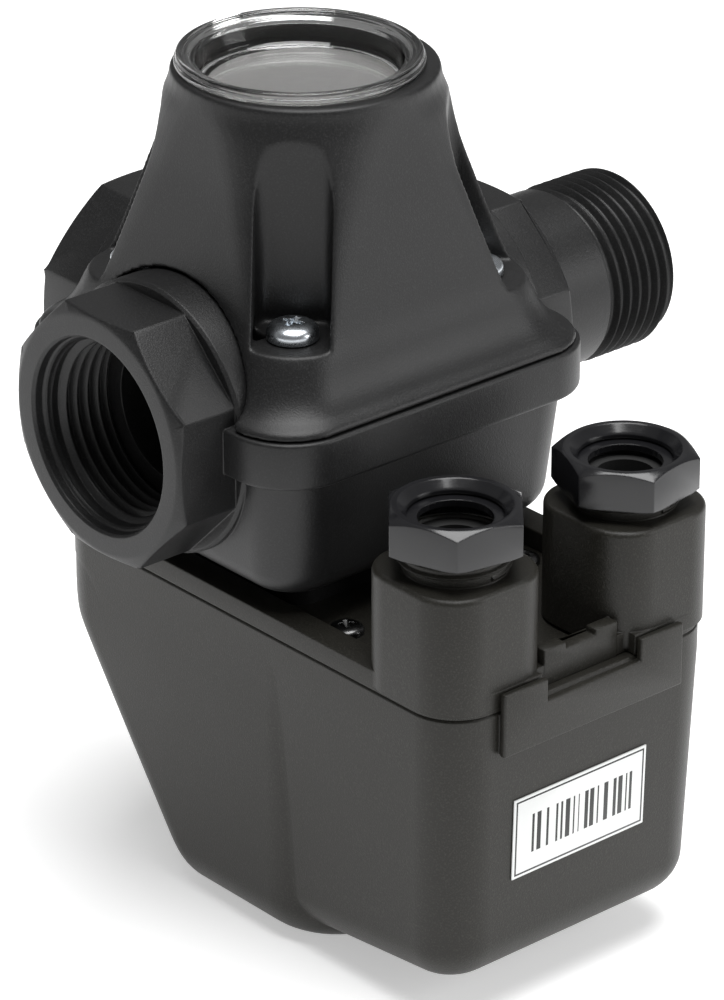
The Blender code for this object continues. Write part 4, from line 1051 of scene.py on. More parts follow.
@dataclass
class WaterBody:
    """The square flange, tapering bowl and three threaded ports."""

    finish: bpy.types.Material
    flange_half: float = 37.2
    flange_corner: float = 12.0
    flange_low: float = -2.4
    flange_high: float = 6.1
    bowl_half: float = 34.3
    bowl_foot: float = 32.0
    bowl_low: float = -26.0
    bowl_corner: float = 10.0
    bowl_fillet: float = 5.0
    neck_half: float = 22.0
    neck_low: float = -33.0
    octagon_radius: float = 23.87
    octagon_start: float = 31.0
    female_face: float = 46.8
    male_octagon_end: float = 43.3
    thread_root: float = 16.62
    thread_crest: float = 15.15
    pitch: float = 2.309
    male_end: float = 74.5
    thread_start: float = 58.4
    bore: float = 12.5
    collar: float = 24.4
    chamber: float = 16.0
    port_room: float = 17.2

    def _flange(self) -> bpy.types.Object:
        """The square band on which the cover sits.

        Returns:
            The band.
        """
        half = self.flange_half * MM
        low, high = self.flange_low * MM, self.flange_high * MM
        corner = self.flange_corner * MM
        band = Bench.rounded_block("flange", (-half, -half, low), (half, half, high), corner, 14)
        Bench.round_rim(band, high, 0.6 * MM)
        Bench.round_rim(band, low, 0.8 * MM)
        return band

    def _bowl(self) -> bpy.types.Object:
        """The tapering bowl with a rounded foot.

        Returns:
            The bowl.
        """
        half = self.bowl_half * MM
        low, high = self.bowl_low * MM, self.flange_low * MM + MM
        corner = self.bowl_corner * MM
        bowl = Bench.rounded_block("bowl", (-half, -half, low), (half, half, high), corner, 14)
        Bench.edit(bowl)
        Bench.pick_faces(lambda middle, normal: normal.z < -0.9)
        share = self.bowl_foot / self.bowl_half
        bpy.ops.transform.resize(value=(share, share, 1.0), center_override=(0.0, 0.0, low))
        Bench.leave()
        Bench.round_rim(bowl, low, self.bowl_fillet * MM, 8)
        return bowl

    def _neck(self) -> bpy.types.Object:
        """The hidden square neck that stands on the lid.

        Returns:
            The neck.
        """
        half = self.neck_half * MM
        low, high = self.neck_low * MM, self.bowl_low * MM + MM
        return Bench.rounded_block("neck", (-half, -half, low), (half, half, high), 5 * MM, 6)

    def _octagon(self, name: str, end: float) -> bpy.types.Object:
        """An octagonal port end with a turned chamfer at its face.

        Args:
            name: The piece's name.
            end: Where its face is, in millimetres.

        Returns:
            The octagon along +Z.
        """
        start = self.octagon_start * MM
        end = end * MM
        body = Bench.drum(name, self.octagon_radius * MM, start, end, 8)
        Bench.move(body, (0, 0, 0), 22.5)
        reach = (self.octagon_radius + 0.4) * MM
        profile = (
            (0.0, start - MM),
            (reach, start - MM),
            (reach, end - 1.5 * MM),
            (21.4 * MM, end),
            (0.0, end),
        )
        lathe = Bench.turned(name + "_lathe", profile)
        Bench.boolean(body, lathe, "INTERSECT")
        Bench.soften(body, 0.35 * MM, 3, 20.0)
        return body

    def _female(self) -> list[bpy.types.Object]:
        """One open port with an inside thread, standing along +Z.

        Returns:
            Its pieces.
        """
        face = self.female_face
        octagon = self._octagon("female_octagon", face)
        mouth = (
            (0.0, 5.0),
            (self.bore, 5.0),
            (self.bore, 27.4),
            (13.2, 28.0),
            (self.thread_root + 0.05, 28.6),
            (self.thread_root + 0.05, face - 2.4),
            (17.3, face - 1.9),
            (17.45, face - 0.5),
            (18.1, face + 0.2),
            (0.0, face + 0.2),
        )
        bore = Bench.turned("bore_tool", in_metres(mouth))
        tube = Bench.turned(
            "inner_tube",
            in_metres(((self.bore, 14), (20, 14), (20, 31.5), (self.bore, 31.5), (self.bore, 14))),
        )
        Bench.cut(octagon, bore)
        thread = Bench.thread(
            "inside_thread", self.thread_root * MM, self.thread_crest * MM, self.pitch * MM, 28.6 * MM, 7
        )
        hidden = (self.thread_root + 0.25) * MM
        Bench.fade(
            thread,
            (
                (28.5 * MM, hidden),
                (30.0 * MM, hidden),
                (33.0 * MM, self.thread_crest * MM),
                ((face - 5.6) * MM, self.thread_crest * MM),
                ((face - 2.7) * MM, hidden),
                ((face - 2.2) * MM, hidden),
            ),
            False,
        )
        return [octagon, self._female_collar(), tube, thread]

    def _female_collar(self) -> bpy.types.Object:
        """The round collar of an open port, hollow inside.

        Returns:
            The collar along +Z.
        """
        outline = (
            (17.0, 27.0),
            (self.collar - 0.5, 27.0),
            (self.collar, 27.5),
            (self.collar, 34.0),
            (self.collar - 0.5, 34.6),
            (17.0, 34.6),
            (17.0, 27.0),
        )
        return Bench.turned("female_collar", in_metres(outline))

    def _male(self) -> list[bpy.types.Object]:
        """The threaded inlet with its octagon and plain collar.

        Returns:
            Its pieces, in place.
        """
        octagon = self._octagon("male_octagon", self.male_octagon_end)
        start = self.male_octagon_end
        thread_low = self.thread_start
        outline = (
            (self.bore, start - 2.0),
            (16.45, start - 2.0),
            (16.45, thread_low - 1.0),
            (self.thread_crest + 0.1, thread_low),
            (self.thread_crest + 0.1, self.male_end - 0.5),
            (14.6, self.male_end),
            (13.6, self.male_end),
            (self.bore, self.male_end - 1.2),
            (self.bore, start - 2.0),
        )
        nipple = Bench.turned("nipple", in_metres(outline))
        bore = Bench.drum("inlet_tool", self.bore * MM, 20 * MM, 60 * MM)
        Bench.cut(octagon, bore)
        thread = Bench.thread(
            "outside_thread", self.thread_crest * MM, self.thread_root * MM, self.pitch * MM,
            (thread_low - 1.9) * MM, 8
        )
        hidden = (self.thread_crest - 0.3) * MM
        Bench.fade(
            thread,
            (
                ((thread_low - 2.0) * MM, hidden),
                ((thread_low - 0.3) * MM, hidden),
                ((thread_low + 1.6) * MM, self.thread_root * MM),
                ((self.male_end - 1.5) * MM, self.thread_root * MM),
                ((self.male_end - 0.6) * MM, (self.thread_crest + 0.45) * MM),
                ((self.male_end - 0.5) * MM, hidden),
            ),
            True,
        )
        ring = (
            (self.bore, 27.0),
            (self.collar, 27.0),
            (self.collar, 34.2),
            (self.collar - 0.5, 34.6),
            (self.bore, 34.6),
            (self.bore, 27.0),
        )
        collar = Bench.turned("male_collar", in_metres(ring))
        return [Bench.face(piece, Facing.REAR_RIGHT) for piece in (octagon, nipple, thread, collar)]

    def build(self) -> bpy.types.Object:
        """Models the body.

        Returns:
            The finished body, one object for the one moulding.
        """
        bowl = self._bowl()
        flange = self._flange()
        for piece in (bowl, flange):
            tools = [Bench.drum("chamber_tool", self.chamber * MM, -20 * MM, 30 * MM)]
            for facing in (Facing.FRONT_LEFT, Facing.REAR_LEFT, Facing.REAR_RIGHT):
                tool = Bench.drum("port_tool", self.port_room * MM, 5 * MM, 60 * MM)
                tools.append(Bench.face(tool, facing))
            Bench.cut(piece, *tools)
        pieces = [bowl, flange, self._neck()]
        for piece in self._female():
            pieces.append(Bench.face(Bench.copy(piece, "rear_" + piece.name), Facing.REAR_LEFT))
            pieces.append(Bench.face(piece, Facing.FRONT_LEFT))
        pieces += self._male()
        body = Bench.fuse("body_moulding", pieces)
        Bench.finish(body, self.finish)
        return body


# ---------------------------------------------------------------- clear cap


@dataclass
class SightCap:
    """The clear stepped cup in the cover's top."""

    finish: bpy.types.Material
    rim: float = 21.5
    top: float = 58.2
    mouth: float = 18.0
    floor: float = 52.8
    shift: tuple[float, float, float] = (-0.61, -0.72, 0.0)

    def build(self) -> bpy.types.Object:
        """Models the cap.

        Returns:
            The finished cap.
        """
        outline = (
            (0.0, 51.5),
            (18.6, 51.5),
            (18.9, 51.9),
            (18.9, 56.0),
            (self.rim - 0.3, 56.0),
            (self.rim, 56.3),
            (self.rim, 57.0),
            (self.rim - 0.35, 57.25),
            (self.rim - 0.4, 58.0),
            (self.rim - 0.8, self.top),
            (20.1, self.top),
            (19.8, 57.8),
            (19.1, 57.7),
            (18.8, 57.2),
            (self.mouth, 57.0),
            (17.7, 56.6),
            (17.3, 53.4),
            (16.6, self.floor),
            (0.0, self.floor),
        )
        cap = Bench.turned("cap_moulding", Bench.round_profile(in_metres(outline), 0.25 * MM, 3), 144)
        Bench.move(cap, [value * MM for value in self.shift])
        Bench.finish(cap, self.finish, 50.0)
        return cap


# ---------------------------------------------------------------- lid and box


@dataclass
class BoxLid:
    """The tray-shaped lid with two gland bosses."""

    finish: bpy.types.Material
    rear: float = -33.4
    front: float = 72.4
    half: float = 31.0
    corner: float = 9.2
    low: float = -32.75
    high: float = -29.1
    rim: float = 5.65
    floor: float = -33.3
    boss_x: float = 60.2
    boss_y: float = 19.35
    boss_half: float = 12.16
    boss_corner: float = 8.16
    boss_top: float = -10.6
    spout: float = 9.75
    spout_bore: float = 8.0
    spout_top: float = -5.3
    gland_pitch: float = 1.5

    def _tray(self) -> bpy.types.Object:
        """The rim and recessed floor.

        Returns:
            The tray.
        """
        tray = Bench.rounded_block(
            "tray",
            (self.rear * MM, -self.half * MM, self.low * MM),
            (self.front * MM, self.half * MM, self.high * MM),
            self.corner * MM,
            12,
        )
        Bench.edit(tray)
        bpy.ops.mesh.select_mode(type="FACE")
        Bench.pick_faces(lambda middle, normal: normal.z > 0.9)
        bpy.ops.mesh.inset(thickness=self.rim * MM)
        drop = (self.floor - self.high) * MM
        bpy.ops.mesh.extrude_region_move(TRANSFORM_OT_translate={"value": (0, 0, drop)})
        Bench.leave()
        Bench.round_rim(tray, self.high * MM, 0.45 * MM, 3)
        floor = Bench.rounded_block(
            "floor",
            ((self.rear + 4.6) * MM, (4.6 - self.half) * MM, -35.7 * MM),
            ((self.front - 4.6) * MM, (self.half - 4.6) * MM, (self.floor - 0.02) * MM),
            5 * MM,
            6,
        )
        notch = Bench.block("notch_tool", (70.4 * MM, -10.7 * MM, -40 * MM), (80 * MM, 10.7 * MM, 0))
        Bench.cut(tray, notch)
        return Bench.fuse("tray", (tray, floor))

    def _boss(self) -> list[bpy.types.Object]:
        """One boss, its threaded spout and its cable bore, about the Z axis.

        Returns:
            Its pieces.
        """
        half = self.boss_half * MM
        boss = Bench.rounded_block(
            "boss", (-half, -half, (self.low + 0.6) * MM), (half, half, self.boss_top * MM),
            self.boss_corner * MM, 16
        )
        Bench.round_rim(boss, self.boss_top * MM, 1.0 * MM, 4)
        Bench.cut(boss, Bench.drum("bore_tool", self.spout_bore * MM, -40 * MM, 0))
        core = self.spout - 0.75
        outline = (
            (self.spout_bore, -33.0),
            (core, -33.0),
            (core, self.spout_top - 0.3),
            (core - 0.35, self.spout_top),
            (self.spout_bore + 0.4, self.spout_top),
            (self.spout_bore, self.spout_top - 0.5),
            (self.spout_bore, -33.0),
        )
        spout = Bench.turned("spout", in_metres(outline), 80)
        thread = Bench.thread(
            "spout_thread", core * MM, self.spout * MM, self.gland_pitch * MM, self.boss_top * MM, 3, 64
        )
        hidden = (core - 0.2) * MM
        Bench.fade(
            thread,
            (
                ((self.boss_top - 0.1) * MM, hidden),
                ((self.boss_top + 0.2) * MM, hidden),
                ((self.boss_top + 1.2) * MM, self.spout * MM),
                ((self.spout_top - 1.7) * MM, self.spout * MM),
                ((self.spout_top - 0.7) * MM, hidden),
                ((self.spout_top - 0.6) * MM, hidden),
            ),
            True,
        )
        return [boss, spout, thread]

    def _front_wall(self) -> bpy.types.Object:
        """The stepped wall between the bosses.

        Returns:
            The wall.
        """
        wall = Bench.block(
            "front_wall", (66.4 * MM, -8.4 * MM, -33.2 * MM), (70.5 * MM, 8.4 * MM, -26.3 * MM)
        )
        step = Bench.block("step_tool", (64 * MM, -3.4 * MM, -27.4 * MM), (80 * MM, 3.4 * MM, -20 * MM))
        shelf = Bench.block("shelf_tool", (60 * MM, -20 * MM, -27.9 * MM), (67.9 * MM, 20 * MM, -20 * MM))
        Bench.cut(wall, step, shelf)
        Bench.soften(wall, 0.3 * MM, 2)
        return wall

    def _ribs(self) -> list[bpy.types.Object]:
        """Low ribs on the lid's floor behind the bosses.

        Returns:
            The two ribs.
        """
        ribs = []
        for side in (-1, 1):
            y = side * 21.5
            rib = Bench.block(
                "rib", (43.6 * MM, (y - 3.0) * MM, -33.5 * MM), (45.2 * MM, (y + 3.0) * MM, -30.4 * MM)
            )
            Bench.soften(rib, 0.4 * MM, 2)
            ribs.append(rib)
        return ribs

    def build(self) -> bpy.types.Object:
        """Models the lid.

        Returns:
            The finished lid.
        """
        pieces = [self._tray(), self._front_wall(), *self._ribs()]
        for piece in self._boss():
            other = Bench.copy(piece, "right_" + piece.name)
            pieces.append(Bench.move(other, (self.boss_x * MM, self.boss_y * MM, 0.0)))
            pieces.append(Bench.move(piece, (self.boss_x * MM, -self.boss_y * MM, 0.0)))
        lid = Bench.fuse("lid_moulding", pieces)
        Bench.finish(lid, self.finish)
        return lid


@dataclass
class ControlBox:
    """The drafted box, its deep rear belly and the tab that locks the lid."""

    finish: bpy.types.Material
    rear: float = -33.4
    front: float = 72.4
    half: float = 31.0
    corner: float = 9.2
    top: float = -32.95
    draft: float = 1.2
    front_floor: float = -85.2
    floor_slope: float = 0.1
    edge: float = 8.0
    belly_floor: float = -92.5
    belly_front: float = 41.0
    belly_corner: float = 16.0
    belly_edge: float = 8.0
    slant_top: float = -49.3
    slant_degrees: float = 54.0
    slant_foot: float = 12.0
    tab_face: float = 74.1

    @staticmethod
    def _outline(rear: float, front: float, half: float, rear_corner: float, front_corner: float,
                 steps: int = 12) -> list[Point2]:
        """A rectangle with its own rear and front corner radii.

        Args:
            rear: Its rear side's place.
            front: Its front side's place.
            half: Its half width.
            rear_corner: The radius of its rear corners.
            front_corner: The radius of its front corners.
            steps: How many facets one corner has.

        Returns:
            The outline's points.
        """
        points: list[Point2] = []
        corners = (
            (front - front_corner, half - front_corner, front_corner, 0),
            (rear + rear_corner, half - rear_corner, rear_corner, 90),
            (rear + rear_corner, rear_corner - half, rear_corner, 180),
            (front - front_corner, front_corner - half, front_corner, 270),
        )
        for x, y, radius, start in corners:
            for step in range(steps + 1):
                angle = math.radians(start + 90 * step / steps)
                points.append((x + radius * math.cos(angle), y + radius * math.sin(angle)))
        return points

    def _rear_at(self, height: float) -> float:
        """The rear wall's place at a height: upright, slanting, then curving into the floor.

        Args:
            height: The height, in millimetres.

        Returns:
            The wall's place along X, in millimetres.
        """
        slope = math.radians(self.slant_degrees)
        foot = self.rear + (self.slant_top - self.belly_floor) / math.tan(slope)
        rise = height - self.belly_floor
        if rise < self.slant_foot * (1 - math.cos(slope)):
            across = math.sqrt(max(self.slant_foot**2 - (self.slant_foot - rise) ** 2, 0.0))
            return foot + self.slant_foot * math.tan(slope / 2) - across
        slanting = foot - rise / math.tan(slope)
        bend = 1.6
        gap = slanting - self.rear
        return self.rear + 0.5 * (gap + math.sqrt(gap * gap + bend * bend))

    def _front_shell(self) -> bpy.types.Object:
        """The whole-length part with drafted walls and a rising floor.

        Returns:
            The shell.
        """
        rings = []
        for height in (self.top, self.top - 0.4, -38.0):
            pull = 0.35 if height == self.top else 0.0
            outline = self._outline(
                self.rear + pull, self.front - pull, self.half - pull, self.corner, self.corner - pull
            )
            rings.append([(x, y, height) for x, y in outline])
        for step in range(13):
            angle = math.radians(90 - 90 * step / 12)
            pull = self.edge * (1 - math.sin(angle)) + self.draft
            height = self.front_floor + self.edge * (1 - math.cos(angle))
            corner = max(self.corner - self.edge * (1 - math.sin(angle)) * 0.9, 1.0)
            outline = self._outline(8.0, self.front - pull, self.half - pull, corner, corner)
            rings.append([(x, y, height - self.floor_slope * (self.front - x)) for x, y in outline])
        return Bench.loft("front_shell", rings)

    def _belly(self) -> bpy.types.Object:
        """The deep rear part with the slanting wall.

        Returns:
            The belly.
        """
        heights = [-34.0, -36.5, -39.5, -43.0, -46.0]
        heights += [-48.0 - 0.7 * step for step in range(8)]
        heights += [-56.0, -64.0, -72.0, -79.0, self.belly_floor + self.belly_edge]
        pulls = [0.35, 0.16, 0.05] + [0.0] * (len(heights) - 3)
        for step in range(1, 13):
            angle = math.radians(90 - 90 * step / 12)
            heights.append(self.belly_floor + self.belly_edge * (1 - math.cos(angle)))
            pulls.append(self.belly_edge * (1 - math.sin(angle)))
        rings = []
        for height, pull in zip(heights, pulls):
            outline = self._outline(
                self._rear_at(height) + (pull if height > -45 else 0.0),
                self.belly_front - pull,
                self.half - pull,
                max(self.corner - pull * 0.95, 0.8),
                max(self.belly_corner - pull * 0.95, 0.8),
            )
            rings.append([(x, y, height) for x, y in outline])
        return Bench.loft("belly", rings)

    def _tab(self) -> bpy.types.Object:
        """The notched tab that hooks over the lid's front edge.

        Returns:
            The tab with its root.
        """
        tab = Bench.block(
            "tab", (72.75 * MM, -20.5 * MM, -41.0 * MM), (self.tab_face * MM, 20.5 * MM, -29.3 * MM)
        )
        notch = Bench.block("notch_tool", (60 * MM, -10.7 * MM, -33.4 * MM), (80 * MM, 10.7 * MM, -20 * MM))
        Bench.cut(tab, notch)
        Bench.soften(tab, 0.35 * MM, 3)
        root = Bench.block(
            "tab_root", (70.9 * MM, -20.2 * MM, -40.8 * MM), (73.0 * MM, 20.2 * MM, -33.5 * MM)
        )
        return Bench.fuse("tab", (tab, root))

    def build(self) -> bpy.types.Object:
        """Models the box.

        Returns:
            The finished box.
        """
        box = Bench.fuse("box_moulding", (self._front_shell(), self._belly(), self._tab()))
        Bench.finish(box, self.finish, 30.0)
        return box


# ---------------------------------------------------------------- glands


@dataclass
class CableGland:
    """One hexagonal gland nut."""

    finish: bpy.types.Material
    across_flats: float = 22.0
    height: float = 7.0
    mouth: float = 8.15
    shoulder: float = 2.2
    thread: float = 9.9

    def pattern(self) -> bpy.types.Object:
        """Models the nut once, standing on the origin.

        Returns:
            The nut, not yet finished.
        """
        corner = self.across_flats / math.sqrt(3)
        low, high = 0.0, self.height
        nut = Bench.drum("nut_pattern", corner * MM, low * MM, high * MM, 6)
        Bench.move(nut, (0, 0, 0), 30.0)
        ring = (
            (self.thread + 0.4, low),
            (self.across_flats / 2 + 0.7, low),
            (corner + 0.2, low + 0.35),
            (corner + 0.2, high - 1.25),
            (self.across_flats / 2 - 0.35, high),
            (self.mouth + 1.5, high),
            (self.mouth + 1.35, high - 0.15),
            (self.mouth + 0.35, high - 1.15),
            (self.mouth, high - 1.5),
            (self.mouth, high - self.shoulder),
            (self.thread, high - self.shoulder),
            (self.thread, low + 0.5),
            (self.thread + 0.4, low),
        )
        Bench.boolean(nut, Bench.turned("nut_lathe", in_metres(ring)), "INTERSECT")
        Bench.soften(nut, 0.22 * MM, 2, 18.0)
        return nut

    def build(self, pattern: bpy.types.Object, side: str, spot: Sequence[float],
              turn: float) -> bpy.types.Object:
        """Copies the nut to its spout.

        Args:
            pattern: The nut on the origin.
            side: Which side it is on, for its name.
            spot: The middle of its underside.
            turn: How far it is turned, in degrees.

        Returns:
            The finished nut.
        """
        nut = Bench.move(Bench.copy(pattern, "nut_" + side), [value * MM for value in spot], turn)
        Bench.finish(nut, self.finish, 25.0)
        return nut


# ---------------------------------------------------------------- screws


@dataclass
class PanScrew:
    """A pan-head screw with a tapering cross recess."""

    finish: bpy.types.Material
    head: float = 4.5
    height: float = 2.9
    shank: float = 1.9
    length: float = 12.0

    def pattern(self) -> bpy.types.Object:
        """Models the screw once, its head's underside on the origin.

        Returns:
            The screw, not yet finished.
        """
        dome = self.height * 0.6
        profile = [
            (0.0, -self.length),
            (self.shank * 0.6, -self.length),
            (self.shank, -self.length + self.shank),
            (self.shank, 0.0),
            (self.head, 0.0),
            (self.head, self.height - dome),
        ]
        for step in range(1, 9):
            angle = math.pi / 2 * step / 8
            profile.append((self.head * math.cos(angle) ** 0.7, self.height - dome * (1 - math.sin(angle))))
        profile[-1] = (0.0, self.height)
        screw = Bench.turned("screw_pattern", in_metres(profile), 48)
        for quarter in (0.0, 90.0):
            slot = Bench.block(
                "slot_tool",
                (-self.head * 0.55 * MM, -self.head * 0.13 * MM, self.height * 0.28 * MM),
                (self.head * 0.55 * MM, self.head * 0.13 * MM, self.height * 1.2 * MM),
            )
            Bench.edit(slot)
            Bench.pick_faces(lambda middle, normal: normal.z < -0.9)
            bpy.ops.transform.resize(value=(0.35, 0.8, 1.0), center_override=(0.0, 0.0, 0.0))
            Bench.leave()
            Bench.cut(screw, Bench.move(slot, (0, 0, 0), quarter))
        Bench.soften(screw, 0.08 * MM, 2, 30.0)
        return screw

    def build(self, pattern: bpy.types.Object, name: str, spot: Sequence[float],
              turn: float) -> bpy.types.Object:
        """Copies the screw to its place.

        Args:
            pattern: The screw on the origin.
            name: The copy's name.
            spot: The middle of the head's underside.
            turn: How far its recess is turned, in degrees.

        Returns:
            The finished screw.
        """
        screw = Bench.move(Bench.copy(pattern, name), [value * MM for value in spot], turn)
        Bench.finish(screw, self.finish, 30.0)
        return screw


# ---------------------------------------------------------------- label


@dataclass
class RatingLabel:
    """The blank label on the box's front."""

    low: Vector
    high: Vector

    def build(self) -> bpy.types.Object:
        """Models the label as a thin foil leaning with the box's wall.

        Returns:
            The finished label.
        """
        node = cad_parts["rating_label"]
        label = node.copy()
        label.data = node.data.copy()
        label.name = "label_foil"
        bpy.context.scene.collection.objects.link(label)
        label.parent = None
        Bench.edit(label)
        bpy.ops.mesh.select_all(action="SELECT")
        bpy.ops.mesh.remove_doubles(threshold=WELD)
        Bench.leave()
        Bench.soften(label, 0.12 * MM, 2, 30.0)
        Bench.origin, kept = Vector((0.0, 0.0, 0.0)), Bench.origin
        Bench.finish(label, LabelFoil("label_foil", self.low, self.high).make(), 30.0)
        Bench.origin = kept
        return label


# ---------------------------------------------------------------- studio


@dataclass
class Studio:
    """The camera, the soft lights and the pale floor."""

    lens: float = 184.0
    azimuth: float = 48.92
    elevation: float = 25.64
    distance: float = 891.56
    slide: float = 9.61
    rise: float = -23.96
    floor_glow: float = 0.42

    def camera(self) -> None:
        """Places the camera by its direction from the crossing of the port axes."""
        turn, tilt = math.radians(self.azimuth), math.radians(self.elevation)
        right = Vector((math.cos(turn), math.sin(turn), 0.0))
        back = Vector((math.sin(turn) * math.cos(tilt), -math.cos(turn) * math.cos(tilt), math.sin(tilt)))
        up = back.cross(right)
        spot = Bench.origin + (back * self.distance + right * self.slide + up * self.rise) * MM
        data = bpy.data.cameras.new("camera")
        data.lens = self.lens
        data.sensor_width = 36.0
        data.clip_start = 0.01
        camera = bpy.data.objects.new("camera", data)
        bpy.context.scene.collection.objects.link(camera)
        camera.matrix_world = Matrix.Translation(spot) @ Matrix((right, up, back)).transposed().to_4x4()
        bpy.context.scene.camera = camera

    def light(self, name: str, spot: Sequence[float], size: Sequence[float], power: float) -> None:
        """Adds one soft rectangular light aimed at the switch.

        Args:
            name: The light's name.
            spot: Where it hangs, in metres from the port crossing.
            size: Its two sides, in metres.
            power: Its power, in watts.
        """
        data = bpy.data.lights.new(name, "AREA")
        data.shape = "RECTANGLE"
        data.size, data.size_y = size
        data.energy = power
        light = bpy.data.objects.new(name, data)
        bpy.context.scene.collection.objects.link(light)
        light.location = Bench.origin + Vector(spot)
        aim = -Vector(spot)
        light.rotation_euler = aim.to_track_quat("-Z", "Y").to_euler()

    def build(self) -> None:
        """Builds the whole studio."""
        self.camera()
        self.light("overhead", (0.1, 0.05, 1.2), (0.9, 0.9), 19.0)
        self.light("right_panel", (0.8, 0.55, 0.34), (0.5, 0.5), 3.4)
        self.light("left_panel", (-0.75, -0.6, 0.02), (0.4, 0.16), 0.45)
        world = bpy.data.worlds.new("studio")
        world.use_nodes = True
        world.node_tree.nodes["Background"].inputs["Color"].default_value = (1.0, 1.0, 1.0, 1.0)
        world.node_tree.nodes["Background"].inputs["Strength"].default_value = 0.2
        bpy.context.scene.world = world
        bpy.context.scene.view_settings.view_transform = "Standard"
        Bench.clear()
        bpy.ops.mesh.primitive_plane_add(size=6.0, location=(0, 0, 0))
        floor = Bench.start("studio_floor")
        shader = Shader("studio_floor")
        cloud = shader.noise(0.3, 2.0)
        shader.feed("Base Color", shader.blend(cloud, (0.96, 0.96, 0.96), (0.94, 0.94, 0.94)))
        shader.feed("Roughness", 0.9)
        shader.feed("Emission Color", (1.0, 1.0, 1.0, 1.0))
        shader.feed("Emission Strength", self.floor_glow)
        floor.data.materials.append(shader.material)


# ---------------------------------------------------------------- assembly


def dress_nodes(names: Iterable[str], material: bpy.types.Material) -> None:
    """Gives carried-over CAD nodes a finish.

    Args:
        names: The nodes.
        material: Their material.
    """
    for name in names:
        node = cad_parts[name]
        node.data.materials.clear()
        node.data.materials.append(material)
        for polygon in node.data.polygons:
            polygon.material_index = 0
        LOG.info("dressed %s", name)


def stand_in(piece: bpy.types.Object, body: str, node: str) -> None:
    """Puts a finished piece in the place of its CAD node.

    Args:
        piece: The finished piece.
        body: The body it rides on.
        node: The CAD node it replaces.
    """
    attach(piece, body)
    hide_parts(node)


def port_crossing() -> Vector:
    """Finds the crossing of the port axes from the cap's box."""
    cap_low, cap_high = (Vector(corner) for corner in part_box("clear_cap"))
    return Vector(((cap_low.x + cap_high.x) / 2, 0.0, cap_high.z - SightCap.top * MM))


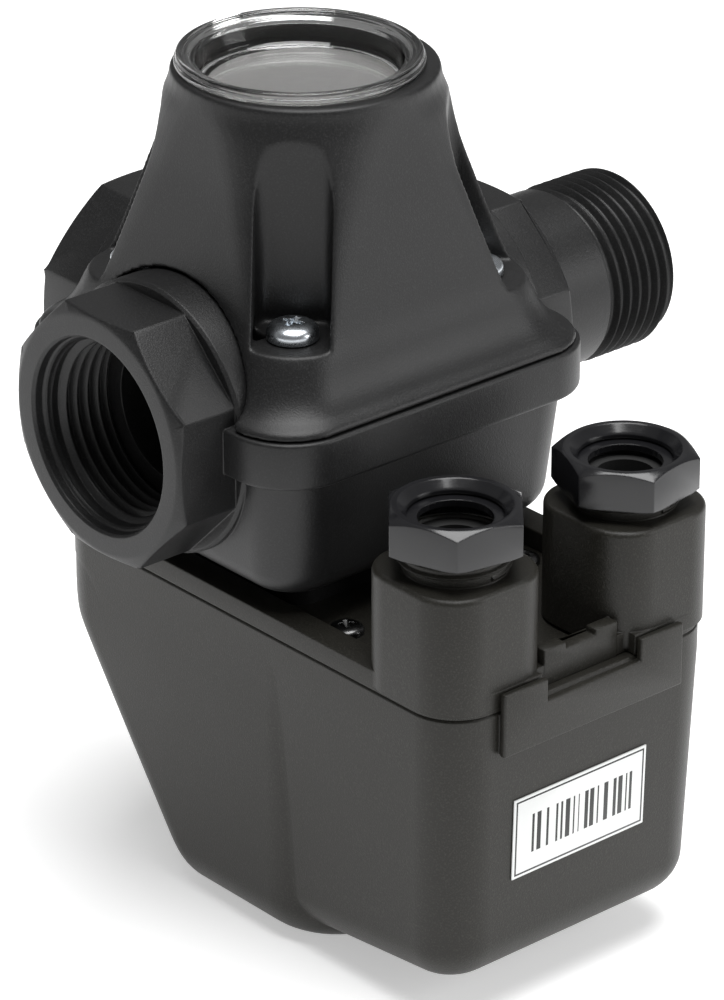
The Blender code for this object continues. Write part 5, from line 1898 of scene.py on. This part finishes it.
def main() -> None:
    """Builds every sub-assembly in order and puts it in the frame."""
    logging.basicConfig(level=logging.INFO, format="%(message)s")
    Bench.origin = port_crossing()
    Studio().build()
    body_black = MouldedPlastic("body_black", (0.007, 0.007, 0.0072), gloss=0.38).make()
    box_black = MouldedPlastic("box_black", (0.013, 0.0122, 0.0098), 0.4, gloss=0.3).make()
    nut_black = GlossPlastic("nut_black", (0.008, 0.008, 0.009)).make()
    clear = ClearPlastic("clear_cap").make()
    zinc = ZincSteel("zinc_steel").make()
    dark_zinc = ZincSteel("blackened_steel", (0.12, 0.12, 0.12)).make()
    rubber = PlainMoulding("black_rubber", (0.012, 0.012, 0.012), 0.65).make()
    white = PlainMoulding("natural_white", (0.78, 0.78, 0.75), 0.4).make()
    disc_grey = PlainMoulding("disc_grey", (0.36, 0.35, 0.345), 0.45).make()

    stand_in(Cover(body_black).build(), "housing", "cone_cover")
    stand_in(WaterBody(body_black).build(), "housing", "hydraulic_body")
    stand_in(SightCap(clear).build(), "housing", "clear_cap")
    stand_in(BoxLid(box_black).build(), "housing", "box_lid")
    stand_in(ControlBox(box_black).build(), "housing", "control_box")

    lid = BoxLid(box_black)
    gland = CableGland(nut_black)
    nut = gland.pattern()
    for side, sign, low, turn in (("left", -1, -6.2, 19.2), ("right", 1, -7.9, 38.3)):
        piece = gland.build(nut, side, (lid.boss_x, sign * lid.boss_y, low), turn)
        stand_in(piece, "nut_" + side, "gland_nut_" + side)
    bpy.data.objects.remove(nut)

    run = 29.6 / math.sqrt(2)
    cover_screw = PanScrew(zinc)
    pattern = cover_screw.pattern()
    corners = (
        ("front_left", 1, -1, 20),
        ("front_right", 1, 1, 65),
        ("rear_left", -1, -1, 5),
        ("rear_right", -1, 1, 40),
    )
    for corner, x, y, turn in corners:
        screw = cover_screw.build(pattern, "screw_" + corner, (x * run, y * run, 18.0), turn)
        stand_in(screw, "housing", "cover_screw_" + corner)
    bpy.data.objects.remove(pattern)
    lid_screw = PanScrew(dark_zinc, 3.1, 1.9, 1.4, 10.0)
    pattern = lid_screw.pattern()
    for side, sign in (("left", -1), ("right", 1)):
        screw = lid_screw.build(pattern, "small_screw_" + side, (34.0, sign * 20.4, -33.0), 30 * sign)
        stand_in(screw, "housing", "lid_screw_" + side)
    bpy.data.objects.remove(pattern)

    label_low, label_high = (Vector(corner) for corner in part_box("rating_label"))
    stand_in(RatingLabel(label_low, label_high).build(), "housing", "rating_label")

    dress_nodes(["sight_disc"], disc_grey)
    dress_nodes(["diaphragm", "valve_seal", "lid_gasket", "gland_seal_left", "gland_seal_right"], rubber)
    dress_nodes(["diaphragm_plate", "check_valve", "valve_guide"], white)
    steel_nodes = ["storage_spring", "valve_spring", "valve_clip", "board_screw_1", "board_screw_2"]
    steel_nodes += ["body_screw_" + corner for corner, _, _, _ in corners]
    dress_nodes(steel_nodes, zinc)
    dress_nodes(["reset_button", "gland_washer_left", "gland_washer_right"], nut_black)
    dress_nodes(["valve_magnet"], PlainMoulding("magnet_grey", (0.16, 0.16, 0.17), 0.35).make())
    board_green = PlainMoulding("board_green", (0.02, 0.16, 0.06), 0.35).make()
    dress_nodes(["circuit_board", "panel_board"], board_green)
    dress_nodes(["relay"], PlainMoulding("relay_blue", (0.03, 0.09, 0.36), 0.4).make())
    dress_nodes(["supply_capacitor"], PlainMoulding("capacitor_red", (0.4, 0.04, 0.03), 0.35).make())
    dress_nodes(["transformer"], PlainMoulding("transformer_tape", (0.65, 0.48, 0.08), 0.4).make())
    dress_nodes(["terminal_block"], PlainMoulding("terminal_green", (0.03, 0.3, 0.11), 0.4).make())
    dress_nodes(["flow_sensor"], PlainMoulding("sensor_glass", (0.5, 0.62, 0.55), 0.15).make())
    dress_nodes(["status_light_power"], PlainMoulding("lens_green", (0.05, 0.5, 0.1), 0.15).make())
    dress_nodes(["status_light_pump"], PlainMoulding("lens_amber", (0.75, 0.42, 0.03), 0.15).make())
    dress_nodes(["status_light_fault"], PlainMoulding("lens_red", (0.6, 0.03, 0.02), 0.15).make())


if __name__ == "__main__":
    main()
